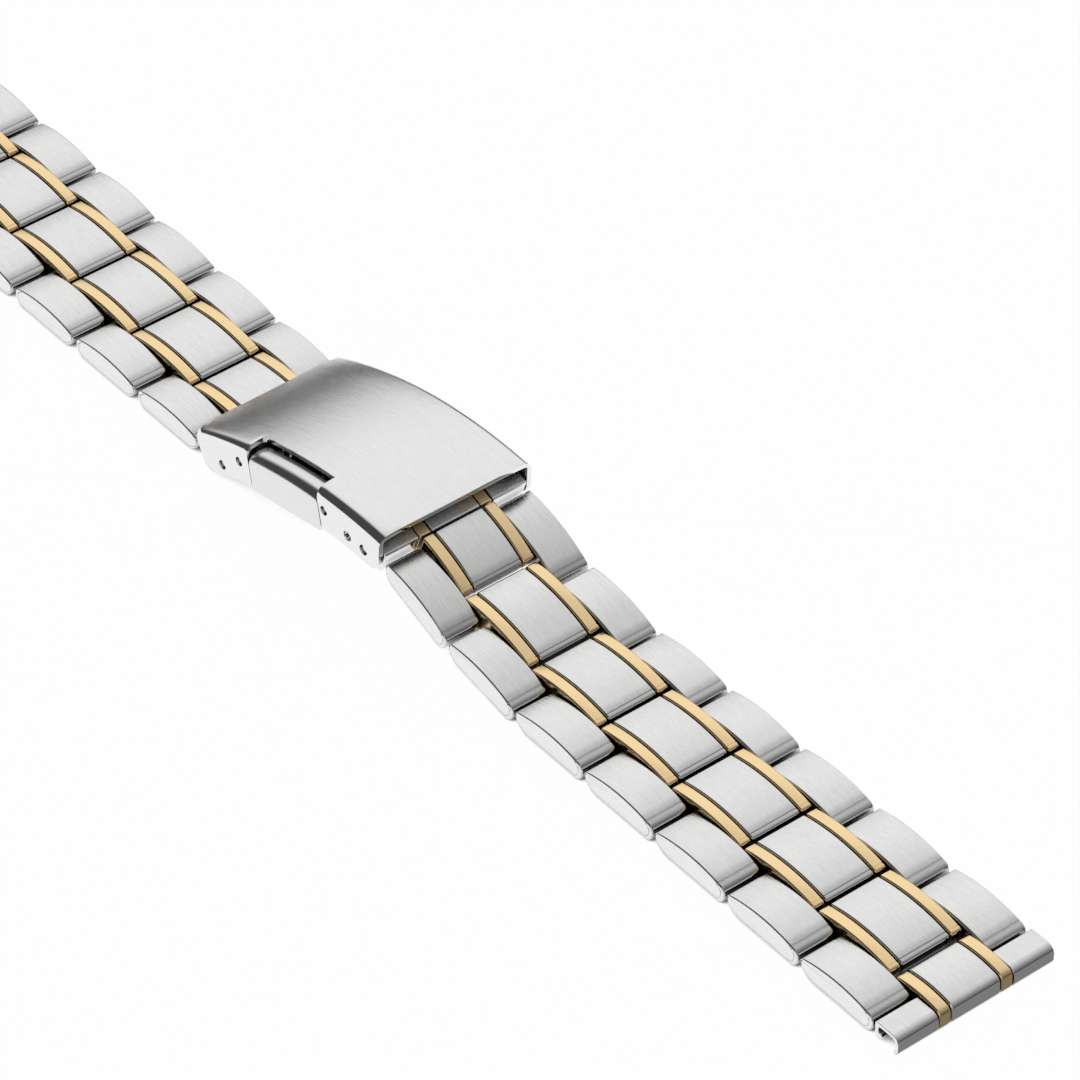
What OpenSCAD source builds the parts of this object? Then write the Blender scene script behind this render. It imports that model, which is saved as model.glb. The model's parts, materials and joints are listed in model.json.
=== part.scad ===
// Five-column watch bracelet in brushed steel with polished gold strips and a
// fold-over clasp with two side buttons, laid out flat with its clasp tilted.
// X runs along the bracelet, Y across it and Z up from the table.

/* [Bracelet] */
// Width at the watch case, which is the lug width
lug_w = 18; // [16:0.5:22]
// Width that each row loses towards the clasp
row_taper = 0.17; // [0:0.01:0.2]
// Distance from one row to the next
pitch = 10; // [9.5:0.1:12]
// Rows of links on each side of the clasp
rows = 7; // [5:1:9]
// Distance from the clasp's middle to the first row beyond its far end
far_start = 14.3; // [14.1:0.1:16]
// Distance from the clasp's middle to the first row that lies flat near its raised end
near_flat_start = 33.5; // [32:0.1:36]
// Downward slope of the first near row, in degrees
first_row_slope = 20.5; // [10:0.5:26]
// Downward slope of the second near row, in degrees
second_row_slope = 10; // [4:0.5:12]

/* [Links] */
// Height of an outer link at its crown
outer_h = 2.75; // [2.5:0.05:3.1]
// Height of an outer link at its ends
outer_edge_h = 2.05; // [1.9:0.05:2.3]
// Height of the middle columns at their crown
middle_h = 3; // [2.8:0.05:3.2]
// Height of the middle columns at their ends
middle_edge_h = 2.4; // [2.2:0.05:2.6]
// Width of the centre column
centre_w = 5.6; // [4.5:0.1:6.5]
// Width of a gold strip
gold_w = 1.3; // [1:0.05:1.6]
// Gap between two columns
column_gap = 0.12; // [0.08:0.01:0.2]
// Gap between the round nose of one link and the face of the next
row_gap = 0.4; // [0.3:0.05:0.6]
// Radius of the round nose about each hinge pin
nose_r = 1.4; // [1.2:0.05:1.5]
// Radius under the other end of a link
heel_r = 1.9; // [1.2:0.05:2]
// Radius of the link pins
pin_r = 0.45; // [0.35:0.01:0.55]
// Height of the link pins above the underside
pin_z = 1.3; // [1.2:0.05:1.4]
// Distance from the start of a row back to its hinge pin
pin_back = 1.5; // [1.4:0.05:1.7]
// Distance from the start of a row to the bar that joins its columns
bar_x = 3.3; // [2.8:0.1:4]
// Depth of the blind pin holes in the outer links
pin_grip = 2.4; // [1.5:0.1:3]
// Radius of the outer links' inner corners, seen from above
inner_corner_r = 0.9; // [0.5:0.05:1]
// Play around a pin that turns
pin_play = 0.05; // [0.02:0.01:0.08]

/* [End pieces] */
// Length of an end piece from the last row to its front lip
end_len = 3.35; // [3.2:0.05:4]
// Height of an end piece at its front lip
end_h = 2.3; // [2.2:0.05:2.6]
// Sheet thickness of the outer sections
end_sheet = 0.4; // [0.3:0.05:0.5]
// Radius of the rolled edges of the front lip
lip_r = 0.9; // [0.6:0.05:1]
// Radius of the hole for the case's spring bar
lug_bore_r = 0.8; // [0.7:0.01:0.82]
// Distance from the front lip back to that hole
lug_bore_back = 1.25; // [1.22:0.01:1.3]
// Height of that hole above the underside
lug_bore_z = 1.05; // [1.02:0.01:1.08]

/* [Clasp cover] */
// Length of the cover across its ends
cover_len = 29.3; // [29:0.1:32]
// Rise of the cover's arch
cover_rise = 1.9; // [1.5:0.1:2.4]
// Width of the cover
cover_w = 17.9; // [17.7:0.1:19]
// Sheet thickness of the cover
cover_sheet = 0.5; // [0.4:0.05:0.55]
// Height of the side skirts
skirt_h = 4.4; // [4.3:0.1:5]
// Radius between the top and the side skirts
cover_edge_r = 0.7; // [0.55:0.05:0.8]
// Radius of the skirts' lower corners
skirt_corner_r = 1.3; // [1:0.1:1.6]
// Tilt of the cover, with its near end up, in degrees
cover_tilt = 11.2; // [9:0.1:13]
// Radius of the pins through the skirts
skirt_pin_r = 0.5; // [0.4:0.01:0.5]
// Radius of the spring bar between the skirts
spring_bar_r = 0.75; // [0.65:0.01:0.8]
// Distance of the spring bar from the clasp's middle
spring_bar_u = 11.63; // [11.5:0.01:11.8]
// Depth of the spring bar under the cover's arch
spring_bar_depth = 3.1; // [3:0.05:3.2]
// Distance of the spare spring bar holes from the clasp's middle
spare_hole_u = 9.31; // [9.1:0.01:9.5]
// Depth of the spare holes under the cover's arch
spare_hole_depth = 3; // [2.8:0.05:3.2]

/* [Buttons] */
// Near end of both button openings, from the clasp's middle
notch_near = 5.15; // [5.05:0.05:5.2]
// Far end of both button openings, from the clasp's middle
notch_far = 5.95; // [5.9:0.05:6]
// Depth of the near button's notch into the cover's top
notch_depth = 2.3; // [2.2:0.05:2.4]
// Height of the far button's window, which is in the skirt alone, above the level of the cover's ends
window_top = 0.8; // [0.7:0.05:0.85]
// Gap around a button
button_gap = 0.14; // [0.1:0.01:0.2]
// Height of the near button's top above that level
button_top = 1.05; // [0.9:0.05:1.05]
// Depth of a button's underside below that level
button_drop = 3.2; // [2.8:0.05:3.3]
// Radius of a button's outer top edge
button_r = 0.8; // [0.5:0.05:1]
// Travel of a button
button_travel = 0.8; // [0.6:0.05:0.8]

/* [Blades] */
// Distance of the cover's hinge pin from the clasp's middle
cover_hinge_u = 10.63; // [10.5:0.01:10.75]
// Depth of that hinge pin under the cover's arch
cover_hinge_depth = 3.26; // [3.2:0.01:3.3]
// Distance of the hinge pin between the blades from the clasp's middle
blade_hinge_u = 8.3; // [8.1:0.01:8.4]
// Depth of that hinge pin under the cover's arch
blade_hinge_depth = 3.6; // [3.55:0.01:3.65]
// Depth of the inner blade's upper face under the cover's arch
inner_blade_depth = 2.8; // [2.75:0.01:2.85]
// Thickness of the inner blade
inner_blade_t = 0.6; // [0.5:0.01:0.65]
// Width of the inner blade
inner_blade_w = 11; // [10.6:0.1:11.2]
// Depth of the outer blade's upper face under the cover's arch
outer_blade_depth = 3.95; // [3.9:0.01:4]
// Thickness of the outer blade
outer_blade_t = 0.65; // [0.5:0.01:0.7]
// Width of the outer blade
outer_blade_w = 11.6; // [11.4:0.1:11.8]
// Outer radius of the blades' hinge barrels
barrel_r = 0.95; // [0.85:0.01:1]

/* [Hidden] */
$fn = 64;
half_names = ["near", "far"];
row_tags = ["n", "f"];

// Colours of the finishes
steel = [0.78, 0.78, 0.77];
polished = [0.88, 0.88, 0.88];
gold = [0.93, 0.78, 0.5];
dark_steel = [0.55, 0.55, 0.56];

// Reach of a cut past the faces that it opens
past = 1;
// Film of air around a pressed pin, which keeps it a solid of its own
pin_fit = 0.01;

// Columns, from the middle outwards
gold_y = centre_w / 2 + column_gap;
outer_y = gold_y + gold_w + column_gap;
function row_w(k) = lug_w - row_taper * (rows + 1 - k);

// Ends of a row's links along the row, from the row's start
face_x = nose_r + row_gap - pin_back;
hinge_x = pitch - pin_back;
middle_end = hinge_x - nose_r - row_gap;
tube_gap = 0.15;

// Rest positions of the rows: each is the row's start at table height and its slope
slopes = [first_row_slope, second_row_slope];
function slope(half, k) = half == 0 && k <= len(slopes) ? slopes[k - 1] : 0;
function turned(p, a) = [p.x * cos(a) + p.y * sin(a), p.y * cos(a) - p.x * sin(a)];
near_reach = near_flat_start + (rows - len(slopes)) * pitch + end_len;
far_reach = far_start + rows * pitch + end_len;
middle_x = (far_reach - near_reach) / 2;
function row_start(half, k) =
    half == 1 ? [far_start - middle_x + (k - 1) * pitch, 0]
    : k > len(slopes) ? [near_flat_start + middle_x + (k - 1 - len(slopes)) * pitch, 0]
    : hinge_point(half, k + 1) - turned([hinge_x, pin_z], slope(half, k));
function hinge_point(half, k) = row_start(half, k) + turned([-pin_back, pin_z], slope(half, k));

// Spring bar end of the first near row
tube_x = -2.3;
tube_z = 1.2;
tube_r = 1.5;
tube_top = tube_z + tube_r;
spring_bar_at = row_start(0, 1) + turned([tube_x, tube_z], slope(0, 1));

// Cover's frame: u along its chord, w square to it, and depth measured in from its arch
arch_r = (pow(cover_len / 2, 2) + pow(cover_rise, 2)) / (2 * cover_rise);
arch_w = cover_rise - arch_r;
arch_angle = asin(cover_len / 2 / arch_r);
function arch_point(u, depth) = [u, arch_w + sqrt(pow(arch_r - depth, 2) - u * u)];
spring_bar_uw = arch_point(spring_bar_u, spring_bar_depth);
cover_at = spring_bar_at - turned(spring_bar_uw, -cover_tilt);
cover_hinge_uw = arch_point(-cover_hinge_u, cover_hinge_depth);
blade_hinge_uw = arch_point(blade_hinge_u, blade_hinge_depth);
spare_hole_uw = arch_point(spare_hole_u, spare_hole_depth);
far_hinge_xz = [-hinge_point(1, 1).x, hinge_point(1, 1).y];
far_hinge_uw = turned(far_hinge_xz - cover_at, cover_tilt);
cavity_w = cover_w - 2 * cover_sheet;
skirt_hole_r = skirt_pin_r + pin_play;

// Carrier between the buttons, held by two pins through the skirts
carrier_pin_depth = 2.15;
carrier_pin_us = [-7.53, 5.95];
carrier_block = 1.7;
carrier_side_gap = 0.45;
carrier_w = cavity_w - 2 * carrier_side_gap;
carrier_plate_gap = 0.4;
carrier_play = 0.1;
carrier_plate = 0.45;
carrier_depth = inner_blade_depth - 0.12;
web_us = [2.9, 5];
web_y = 3.3;
spring_r = 0.6;
spring_u = 4.1;
spring_w = 0;

// Buttons, with arms that reach past the catch on the outer blade
button_in = 6.75;
button_out = cover_w / 2 + 0.1;
arm_top = 0.65;
arm_bottom = -0.5;
arm_us = [1.3, 2.6];
hook_y = 2.9;
flange_u = 3.3;
flange_t = 0.7;
flange_play = 0.05;
catch_y = 1.3;
catch_u = 1;
catch_play = 0.1;
catch_depth = 1.35;
window_u = [-2.5, 1.9];
window_y = 1.7;

// Ears of the outer blade that hold the far half of the bracelet
ear_r = 1.2;
ear_in = outer_y + 0.1;
neck_y = 2.45;
neck_play = 0.12;
neck_len = 1.3;
hinge_wing_in = outer_blade_w / 2 + 0.2;
hinge_wing_out = 7.7;
wing_len = 1.7;

module along_y(w) {
    rotate([90, 0, 0]) linear_extrude(height = w, center = true) children();
}

module rod(at, r, y0, y1) {
    translate([at.x, y1, at.y]) rotate([90, 0, 0]) cylinder(h = y1 - y0, r = r);
}

module block(x0, x1, y0, y1, z0, z1) {
    translate([x0, y0, z0]) cube([x1 - x0, y1 - y0, z1 - z0]);
}

module both_sides() {
    children();
    mirror([0, 1, 0]) children();
}

// Places a part drawn in a row's own frame: half 0 is the near half, half 1 the far one
module in_row(half, k) {
    mirror([half, 0, 0])
        translate([row_start(half, k).x, 0, row_start(half, k).y])
            rotate([0, slope(half, k), 0]) children();
}

module in_cover() {
    translate([cover_at.x, 0, cover_at.y]) rotate([0, -cover_tilt, 0]) children();
}

// Everything under an arched top of height crown between x0 and x1, edge high at both
module under_arch(x0, x1, crown, edge) {
    sagitta = crown - edge;
    r = (pow((x1 - x0) / 2, 2) + pow(sagitta, 2)) / (2 * sagitta);
    translate([(x0 + x1) / 2, crown - r]) circle(r = r, $fn = 256);
}

// Side of a link: a round nose about its hinge pin at nose_x, and a heel at end_x
module link_side(nose_x, end_x, crown, edge) {
    way = end_x > nose_x ? 1 : -1;
    tip_x = nose_x - way * nose_r;
    intersection() {
        under_arch(min(tip_x, end_x), max(tip_x, end_x), crown, edge);
        translate([min(tip_x, end_x), 0]) square([abs(end_x - tip_x), crown]);
        union() {
            translate([nose_x, pin_z]) circle(r = nose_r);
            translate([min(nose_x, end_x - way * heel_r), 0])
                square([abs(end_x - way * heel_r - nose_x), crown]);
            translate([end_x - way * heel_r, heel_r]) circle(r = heel_r);
            translate([min(nose_x, end_x), heel_r]) square([abs(end_x - nose_x), crown - heel_r]);
        }
    }
}

// Outer link seen from above, with round corners on its inner side
module outer_plan(half_w) {
    tip_x = hinge_x + nose_r;
    translate([face_x, outer_y + inner_corner_r])
        square([tip_x - face_x, half_w - outer_y - inner_corner_r]);
    translate([face_x + inner_corner_r, outer_y])
        square([tip_x - face_x - 2 * inner_corner_r, 2 * inner_corner_r]);
    for (x = [face_x + inner_corner_r, tip_x - inner_corner_r])
        translate([x, outer_y + inner_corner_r]) circle(r = inner_corner_r);
}

module outer_links(k) {
    half_w = row_w(k) / 2;
    grip_y = outer_y + pin_grip;
    color(steel) {
        both_sides() difference() {
            intersection() {
                translate([0, (outer_y + half_w) / 2, 0])
                    along_y(half_w - outer_y) link_side(hinge_x, face_x, outer_h, outer_edge_h);
                linear_extrude(height = outer_h) outer_plan(half_w);
            }
            for (x = [hinge_x, bar_x]) rod([x, pin_z], pin_r + pin_fit, 0, grip_y + pin_fit);
        }
        for (x = [hinge_x, bar_x]) rod([x, pin_z], pin_r, -grip_y, grip_y);
    }
}

// One middle column from y0 to y1, which in the first near row starts at the clasp's tube
module middle_column(y0, y1, first) {
    difference() {
        translate([0, (y0 + y1) / 2, 0]) along_y(y1 - y0) intersection() {
            link_side(-pin_back, middle_end, middle_h, middle_edge_h);
            translate([first ? tube_gap : -pin_back - nose_r, 0]) square([pitch, middle_h]);
        }
        if (!first) rod([-pin_back, pin_z], pin_r + pin_play, y0 - past, y1 + past);
        rod([bar_x, pin_z], pin_r, y0 - past, y1 + past);
    }
}

module gold_strips(half, k) {
    color(gold) both_sides() middle_column(gold_y, gold_y + gold_w, half == 0 && k == 1);
}

// Tongue of the clasp's tube inside the first near centre link
tongue_y = 1.9;
tongue_z = [0.55, 2.05];
tongue_past_bar = 0.95;
tongue_end = bar_x + tongue_past_bar;
tongue_play = 0.08;

module centre_link(half, k) {
    first = half == 0 && k == 1;
    color(steel) difference() {
        middle_column(-centre_w / 2, centre_w / 2, first);
        if (first)
            block(-past, tongue_end + tongue_play, -tongue_y - tongue_play, tongue_y + tongue_play,
                  -past, tongue_z[1] + tongue_play);
    }
}

// Five-section tube on the spring bar: a sleeve joins its steel sections through the gold ones
module tube_section(y0, y1, bore_r) {
    difference() {
        translate([0, (y0 + y1) / 2, 0]) along_y(y1 - y0) {
            translate([tube_x, tube_z]) circle(r = tube_r);
            translate([tube_x, 0]) square([-tube_gap - tube_x, tube_top]);
        }
        rod([tube_x, tube_z], bore_r, y0 - past, y1 + past);
    }
}

tube_y = cavity_w / 2 - 0.12;
sleeve_t = 0.3;

module clasp_end_piece() {
    bore_r = spring_bar_r + pin_play;
    color(steel) difference() {
        union() {
            tube_section(-centre_w / 2, centre_w / 2, bore_r);
            block(-tube_gap - past, tongue_end, -tongue_y, tongue_y, tongue_z[0], tongue_z[1]);
            both_sides() tube_section(outer_y, tube_y, bore_r);
            rod([tube_x, tube_z], bore_r + sleeve_t, -tube_y, tube_y);
        }
        rod([bar_x, pin_z], pin_r, -tongue_y - past, tongue_y + past);
        rod([tube_x, tube_z], bore_r, -cover_w, cover_w);
    }
}

module clasp_end_gold() {
    color(gold) both_sides()
        tube_section(gold_y, gold_y + gold_w, spring_bar_r + pin_play + sleeve_t);
}

// End pieces at the watch case
end_rod = [0.75, 0.75];
end_rod_r = 0.45;
end_rear = 0.3;
lug_bore = [end_len - lug_bore_back, lug_bore_z];

module end_front(height) {
    translate([end_len - lip_r, height - lip_r]) circle(r = lip_r);
    translate([-pin_back - nose_r, 0]) square([end_len - lip_r + pin_back + nose_r, height]);
    square([end_len, height - lip_r]);
}

module end_middle(y0, y1) {
    difference() {
        translate([0, (y0 + y1) / 2, 0]) along_y(y1 - y0) intersection() {
            under_arch(-pin_back - nose_r, end_len, middle_h - 0.3, end_h);
            union() {
                translate([-pin_back, pin_z]) circle(r = nose_r);
                translate([-pin_back, 0]) square([end_len + pin_back, middle_h]);
            }
            end_front(end_h + 0.2);
        }
        rod([-pin_back, pin_z], pin_r + pin_play, y0 - past, y1 + past);
        rod(lug_bore, lug_bore_r, y0 - past, y1 + past);
    }
}

// Rectangle whose two front corners are round
module lipped_box(x0, x1, z0, z1, r) {
    translate([x0, z0]) square([x1 - r - x0, z1 - z0]);
    translate([x0, z0 + r]) square([x1 - x0, z1 - z0 - 2 * r]);
    for (z = [z0 + r, z1 - r]) translate([x1 - r, z]) circle(r = r);
}

// Folded outer section: a top sheet, a rear wall and a front lip that curls in
module end_outer_side() {
    inner_r = lip_r - end_sheet;
    difference() {
        lipped_box(end_rear, end_len, 0, end_h, lip_r);
        lipped_box(end_rear + end_sheet, end_len - end_sheet, end_sheet, end_h - end_sheet, inner_r);
        translate([end_rear, -past]) square([end_len - end_rear - lip_r, end_sheet + 2 * past]);
        translate([end_len - lip_r - past, -past]) square([past + inner_r / 2, lip_r + past]);
    }
    translate([end_rear, end_rod.y]) square([end_sheet, end_h - end_rod.y - end_sheet / 2]);
}

module end_piece() {
    half_w = lug_w / 2;
    color(steel) {
        difference() {
            union() {
                end_middle(-centre_w / 2, centre_w / 2);
                rod(end_rod, end_rod_r, -half_w, half_w);
                both_sides() translate([0, (outer_y + half_w) / 2, 0])
                    along_y(half_w - outer_y) end_outer_side();
            }
            rod(lug_bore, lug_bore_r, -gold_y - gold_w, gold_y + gold_w);
        }
    }
}

module end_gold() {
    color(gold) both_sides() difference() {
        end_middle(gold_y, gold_y + gold_w);
        rod(end_rod, end_rod_r, 0, outer_y);
    }
}

// Sheet or block that follows the cover's arch, between two depths and two widths
module arched(u0, u1, depth0, depth1, y0, y1) {
    translate([0, (y0 + y1) / 2, 0]) along_y(y1 - y0) arched_side(u0, u1, depth0, depth1);
}

module arched_side(u0, u1, depth0, depth1) {
    foot = arch_r - depth1;
    reach = 2 * arch_r;
    a0 = asin(u0 / foot);
    a1 = asin(u1 / foot);
    translate([0, arch_w]) intersection() {
        difference() {
            circle(r = arch_r - depth0, $fn = 720);
            circle(r = foot, $fn = 720);
        }
        polygon([[0, 0], reach * [sin(a0), cos(a0)], reach * [sin(a1), cos(a1)]]);
    }
}

module cover_section() {
    half_w = cover_w / 2;
    top = arch_r;
    difference() {
        union() {
            translate([top - skirt_h, -half_w]) square([skirt_h - cover_edge_r, cover_w]);
            translate([top - cover_edge_r, -half_w + cover_edge_r])
                square([cover_edge_r, cover_w - 2 * cover_edge_r]);
            for (y = [-1, 1]) translate([top - cover_edge_r, y * (half_w - cover_edge_r)])
                circle(r = cover_edge_r);
        }
        translate([top - skirt_h - past, -cavity_w / 2])
            square([skirt_h + past - cover_sheet, cavity_w]);
    }
}

// Lower corners of the skirts, cut away outside a round corner
module skirt_corner() {
    foot_r = arch_r - skirt_h;
    round_at = foot_r + skirt_corner_r;
    angle = arch_angle - asin(skirt_corner_r / round_at);
    translate([0, arch_w]) rotate(-angle) difference() {
        translate([0, foot_r - past]) square([skirt_corner_r + past, skirt_corner_r + past]);
        translate([0, round_at]) circle(r = skirt_corner_r);
    }
}

module clasp_cover() {
    half_w = cover_w / 2;
    color(steel) difference() {
        translate([0, 0, arch_w]) rotate([90, 0, 0]) rotate([0, 0, 90 - arch_angle])
            rotate_extrude(angle = 2 * arch_angle, $fn = 360) cover_section();
        for (end = [0, 1]) mirror([end, 0, 0]) along_y(cover_w + past) skirt_corner();
        block(-notch_far, notch_near, -half_w - past, notch_depth - half_w, -cover_len, cover_rise + past);
        block(-notch_far, notch_near, cavity_w / 2 - past, half_w + past, -cover_len, window_top);
        both_sides() {
            rod(cover_hinge_uw, skirt_pin_r, 0, half_w + past);
            rod(spring_bar_uw, skirt_hole_r, 0, half_w + past);
            rod(spare_hole_uw, skirt_hole_r, 0, half_w + past);
            for (u = carrier_pin_us)
                rod(arch_point(u, carrier_pin_depth), skirt_pin_r, 0, half_w + past);
        }
    }
}

module cover_pins() {
    half_w = cover_w / 2 - 0.05;
    color(polished) {
        rod(cover_hinge_uw, skirt_pin_r, -half_w, half_w);
        for (u = carrier_pin_us)
            rod(arch_point(u, carrier_pin_depth), skirt_pin_r, -half_w, half_w);
    }
}

module spring_bar() {
    half_w = cover_w / 2 - 0.05;
    shoulder = tube_y - 0.1;
    color(polished) {
        rod(spring_bar_uw, spring_bar_r, -shoulder, shoulder);
        rod(spring_bar_uw, skirt_pin_r, -half_w, half_w);
    }
}

module button_carrier() {
    half_w = carrier_w / 2;
    top = cover_sheet + carrier_play;
    carrier_plate_y = button_in - button_travel - carrier_plate_gap;
    color(dark_steel) difference() {
        union() {
            for (u = carrier_pin_us)
                arched(u - carrier_block / 2, u + carrier_block / 2, top, carrier_depth, -half_w, half_w);
            arched(carrier_pin_us[0], carrier_pin_us[1], top, top + carrier_plate,
                   -carrier_plate_y, carrier_plate_y);
            arched(-web_us[1], -web_us[0], top, carrier_depth, -web_y, web_y);
            arched(web_us[0], web_us[1], top, carrier_depth, -web_y, web_y);
        }
        for (u = carrier_pin_us)
            rod(arch_point(u, carrier_pin_depth), skirt_pin_r, -half_w - past, half_w + past);
    }
}

// Springs of the button on the +Y side, or of the other one when side is 1
module button_springs(side) {
    color(polished) mirror([0, side, 0]) for (u = [-spring_u, spring_u]) difference() {
        rod([u, spring_w], spring_r, web_y, button_in);
        rod([u, spring_w], spring_r / 2, web_y - past, button_in + past);
    }
}

// Button on the +Y side, or the other one when side is 1: their arms pass each other
module button(side) {
    u0 = -notch_far + button_gap;
    u1 = notch_near - button_gap;
    flange_end = web_y + flange_play + flange_t;
    top = side == 1 ? button_top : window_top - button_gap;
    color(polished) mirror([0, side, 0]) {
        difference() {
            block(u0, u1, button_in, button_out, -button_drop, top);
            translate([0, button_out - button_r, top - button_r]) difference() {
                block(u0 - past, u1 + past, 0, button_r + past, 0, button_r + past);
                translate([u0 - 2 * past, 0, 0]) rotate([0, 90, 0])
                    cylinder(h = u1 - u0 + 4 * past, r = button_r);
            }
        }
        mirror([side, 0, 0]) {
            block(-arm_us[1], -arm_us[0], -flange_end, button_in + 0.1, arm_bottom, arm_top);
            block(-arm_us[1], catch_u + catch_play, -hook_y, -catch_y - catch_play, arm_bottom, arm_top);
            block(-flange_u, -arm_us[0], -flange_end, -flange_end + flange_t, arm_bottom, arm_top);
        }
    }
}

module inner_blade() {
    half_w = inner_blade_w / 2;
    bottom = inner_blade_depth + inner_blade_t;
    hinge = cover_hinge_uw;
    color(dark_steel) difference() {
        union() {
            arched(hinge.x + barrel_r, blade_hinge_uw.x, inner_blade_depth, bottom, -half_w, half_w);
            both_sides() {
                arched(hinge.x, hinge.x + wing_len, inner_blade_depth, bottom,
                       hinge_wing_in, hinge_wing_out);
                arched(hinge.x + barrel_r, hinge.x + wing_len, inner_blade_depth, bottom,
                       half_w - past, hinge_wing_out);
                rod(hinge, barrel_r, hinge_wing_in, hinge_wing_out);
                rod(blade_hinge_uw, barrel_r, neck_y + neck_play, half_w);
            }
        }
        block(window_u[0], window_u[1], -window_y, window_y, -skirt_h, 0);
        block(blade_hinge_uw.x - neck_len, cover_len, -neck_y - neck_play, neck_y + neck_play,
              -2 * skirt_h, 0);
        rod(hinge, skirt_pin_r + pin_play, -cover_w, cover_w);
        rod(blade_hinge_uw, skirt_pin_r, -cover_w, cover_w);
    }
}

module blade_pin() {
    half_w = inner_blade_w / 2;
    color(polished) rod(blade_hinge_uw, skirt_pin_r, -half_w, half_w);
}

module outer_blade() {
    half_w = outer_blade_w / 2;
    bottom = outer_blade_depth + outer_blade_t;
    plate_far = far_hinge_uw.x + nose_r + row_gap / 2;
    ear_far = far_hinge_uw.x - 0.3;
    color(dark_steel) difference() {
        union() {
            arched(plate_far, blade_hinge_uw.x - neck_len, outer_blade_depth, bottom, -half_w, half_w);
            arched(0, blade_hinge_uw.x, outer_blade_depth, bottom, -neck_y, neck_y);
            rod(blade_hinge_uw, barrel_r, -neck_y, neck_y);
            both_sides() {
                arched(ear_far, plate_far + 0.5, outer_blade_depth, bottom, ear_in, half_w);
                rod(far_hinge_uw, ear_r, ear_in, half_w);
            }
            arched(-catch_u, catch_u, catch_depth, outer_blade_depth + 0.1, -catch_y, catch_y);
        }
        rod(blade_hinge_uw, skirt_pin_r + pin_play, -cover_w, cover_w);
        rod(far_hinge_uw, pin_r, -cover_w, cover_w);
    }
}

module far_pin() {
    half_w = outer_blade_w / 2;
    color(polished) rod(far_hinge_uw, pin_r, -half_w, half_w);
}

in_cover() clasp_cover();
in_cover() cover_pins();
in_cover() spring_bar();
in_cover() button_carrier();
in_cover() button(1);  // button_near
in_cover() button(0);  // button_far
in_cover() button_springs(1);  // button_springs_near
in_cover() button_springs(0);  // button_springs_far
in_cover() inner_blade();
in_cover() blade_pin();
in_cover() outer_blade();
in_cover() far_pin();
in_row(0, 1) clasp_end_piece();
in_row(0, 1) clasp_end_gold();
for (half = [0, 1]) {
    in_row(half, rows + 1) end_piece();
    in_row(half, rows + 1) end_gold();
    for (k = [1 : rows]) {
        in_row(half, k) outer_links(k);
        in_row(half, k) gold_strips(half, k);
        in_row(half, k) centre_link(half, k);
    }
}
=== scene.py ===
"""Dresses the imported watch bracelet: link, strip and clasp meshes, brushed and polished finishes, studio.

Lengths inside the mesh code are in millimetres and become metres when a mesh is made.
"""

import json
import math

import bmesh
import bpy
from mathutils import Matrix, Vector

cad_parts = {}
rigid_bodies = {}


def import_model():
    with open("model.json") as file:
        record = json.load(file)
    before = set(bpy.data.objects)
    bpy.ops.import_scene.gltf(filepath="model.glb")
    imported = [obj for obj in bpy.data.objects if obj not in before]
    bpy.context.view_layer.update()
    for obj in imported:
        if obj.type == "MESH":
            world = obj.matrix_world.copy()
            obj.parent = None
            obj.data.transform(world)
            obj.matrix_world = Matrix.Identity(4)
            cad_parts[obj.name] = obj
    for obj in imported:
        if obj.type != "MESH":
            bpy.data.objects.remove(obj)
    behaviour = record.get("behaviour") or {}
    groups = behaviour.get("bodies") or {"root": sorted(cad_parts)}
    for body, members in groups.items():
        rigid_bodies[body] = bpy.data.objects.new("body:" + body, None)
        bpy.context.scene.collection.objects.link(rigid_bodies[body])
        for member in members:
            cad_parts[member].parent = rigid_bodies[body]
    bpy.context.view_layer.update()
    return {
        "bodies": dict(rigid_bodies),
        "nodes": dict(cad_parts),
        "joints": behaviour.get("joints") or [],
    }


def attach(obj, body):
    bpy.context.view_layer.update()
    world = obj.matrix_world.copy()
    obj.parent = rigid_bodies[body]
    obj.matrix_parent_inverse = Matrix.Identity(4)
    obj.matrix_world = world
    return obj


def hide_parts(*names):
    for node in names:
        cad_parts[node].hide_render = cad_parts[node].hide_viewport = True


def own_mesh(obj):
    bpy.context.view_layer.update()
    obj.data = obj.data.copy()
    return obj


bl_info = {
    "name": "Watch bracelet finisher",
    "version": (1, 0, 0),
    "blender": (4, 5, 0),
    "location": "View3D > Sidebar > Bracelet",
    "description": "Builds the visible pieces of a five-column watch bracelet around its packed frame",
    "category": "Object",
}

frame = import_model()
MM = 0.001
JOINTS = {joint["name"]: joint for joint in frame["joints"]}
ROWS = sum(1 for body in frame["bodies"] if body.startswith("near_") and body[5:].isdigit())
HALVES = (("near", "n"), ("far", "f"))
ROUND_SIDES = 32
BORE_SIDES = 24
PIN_PLAY = 0.05


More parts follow.
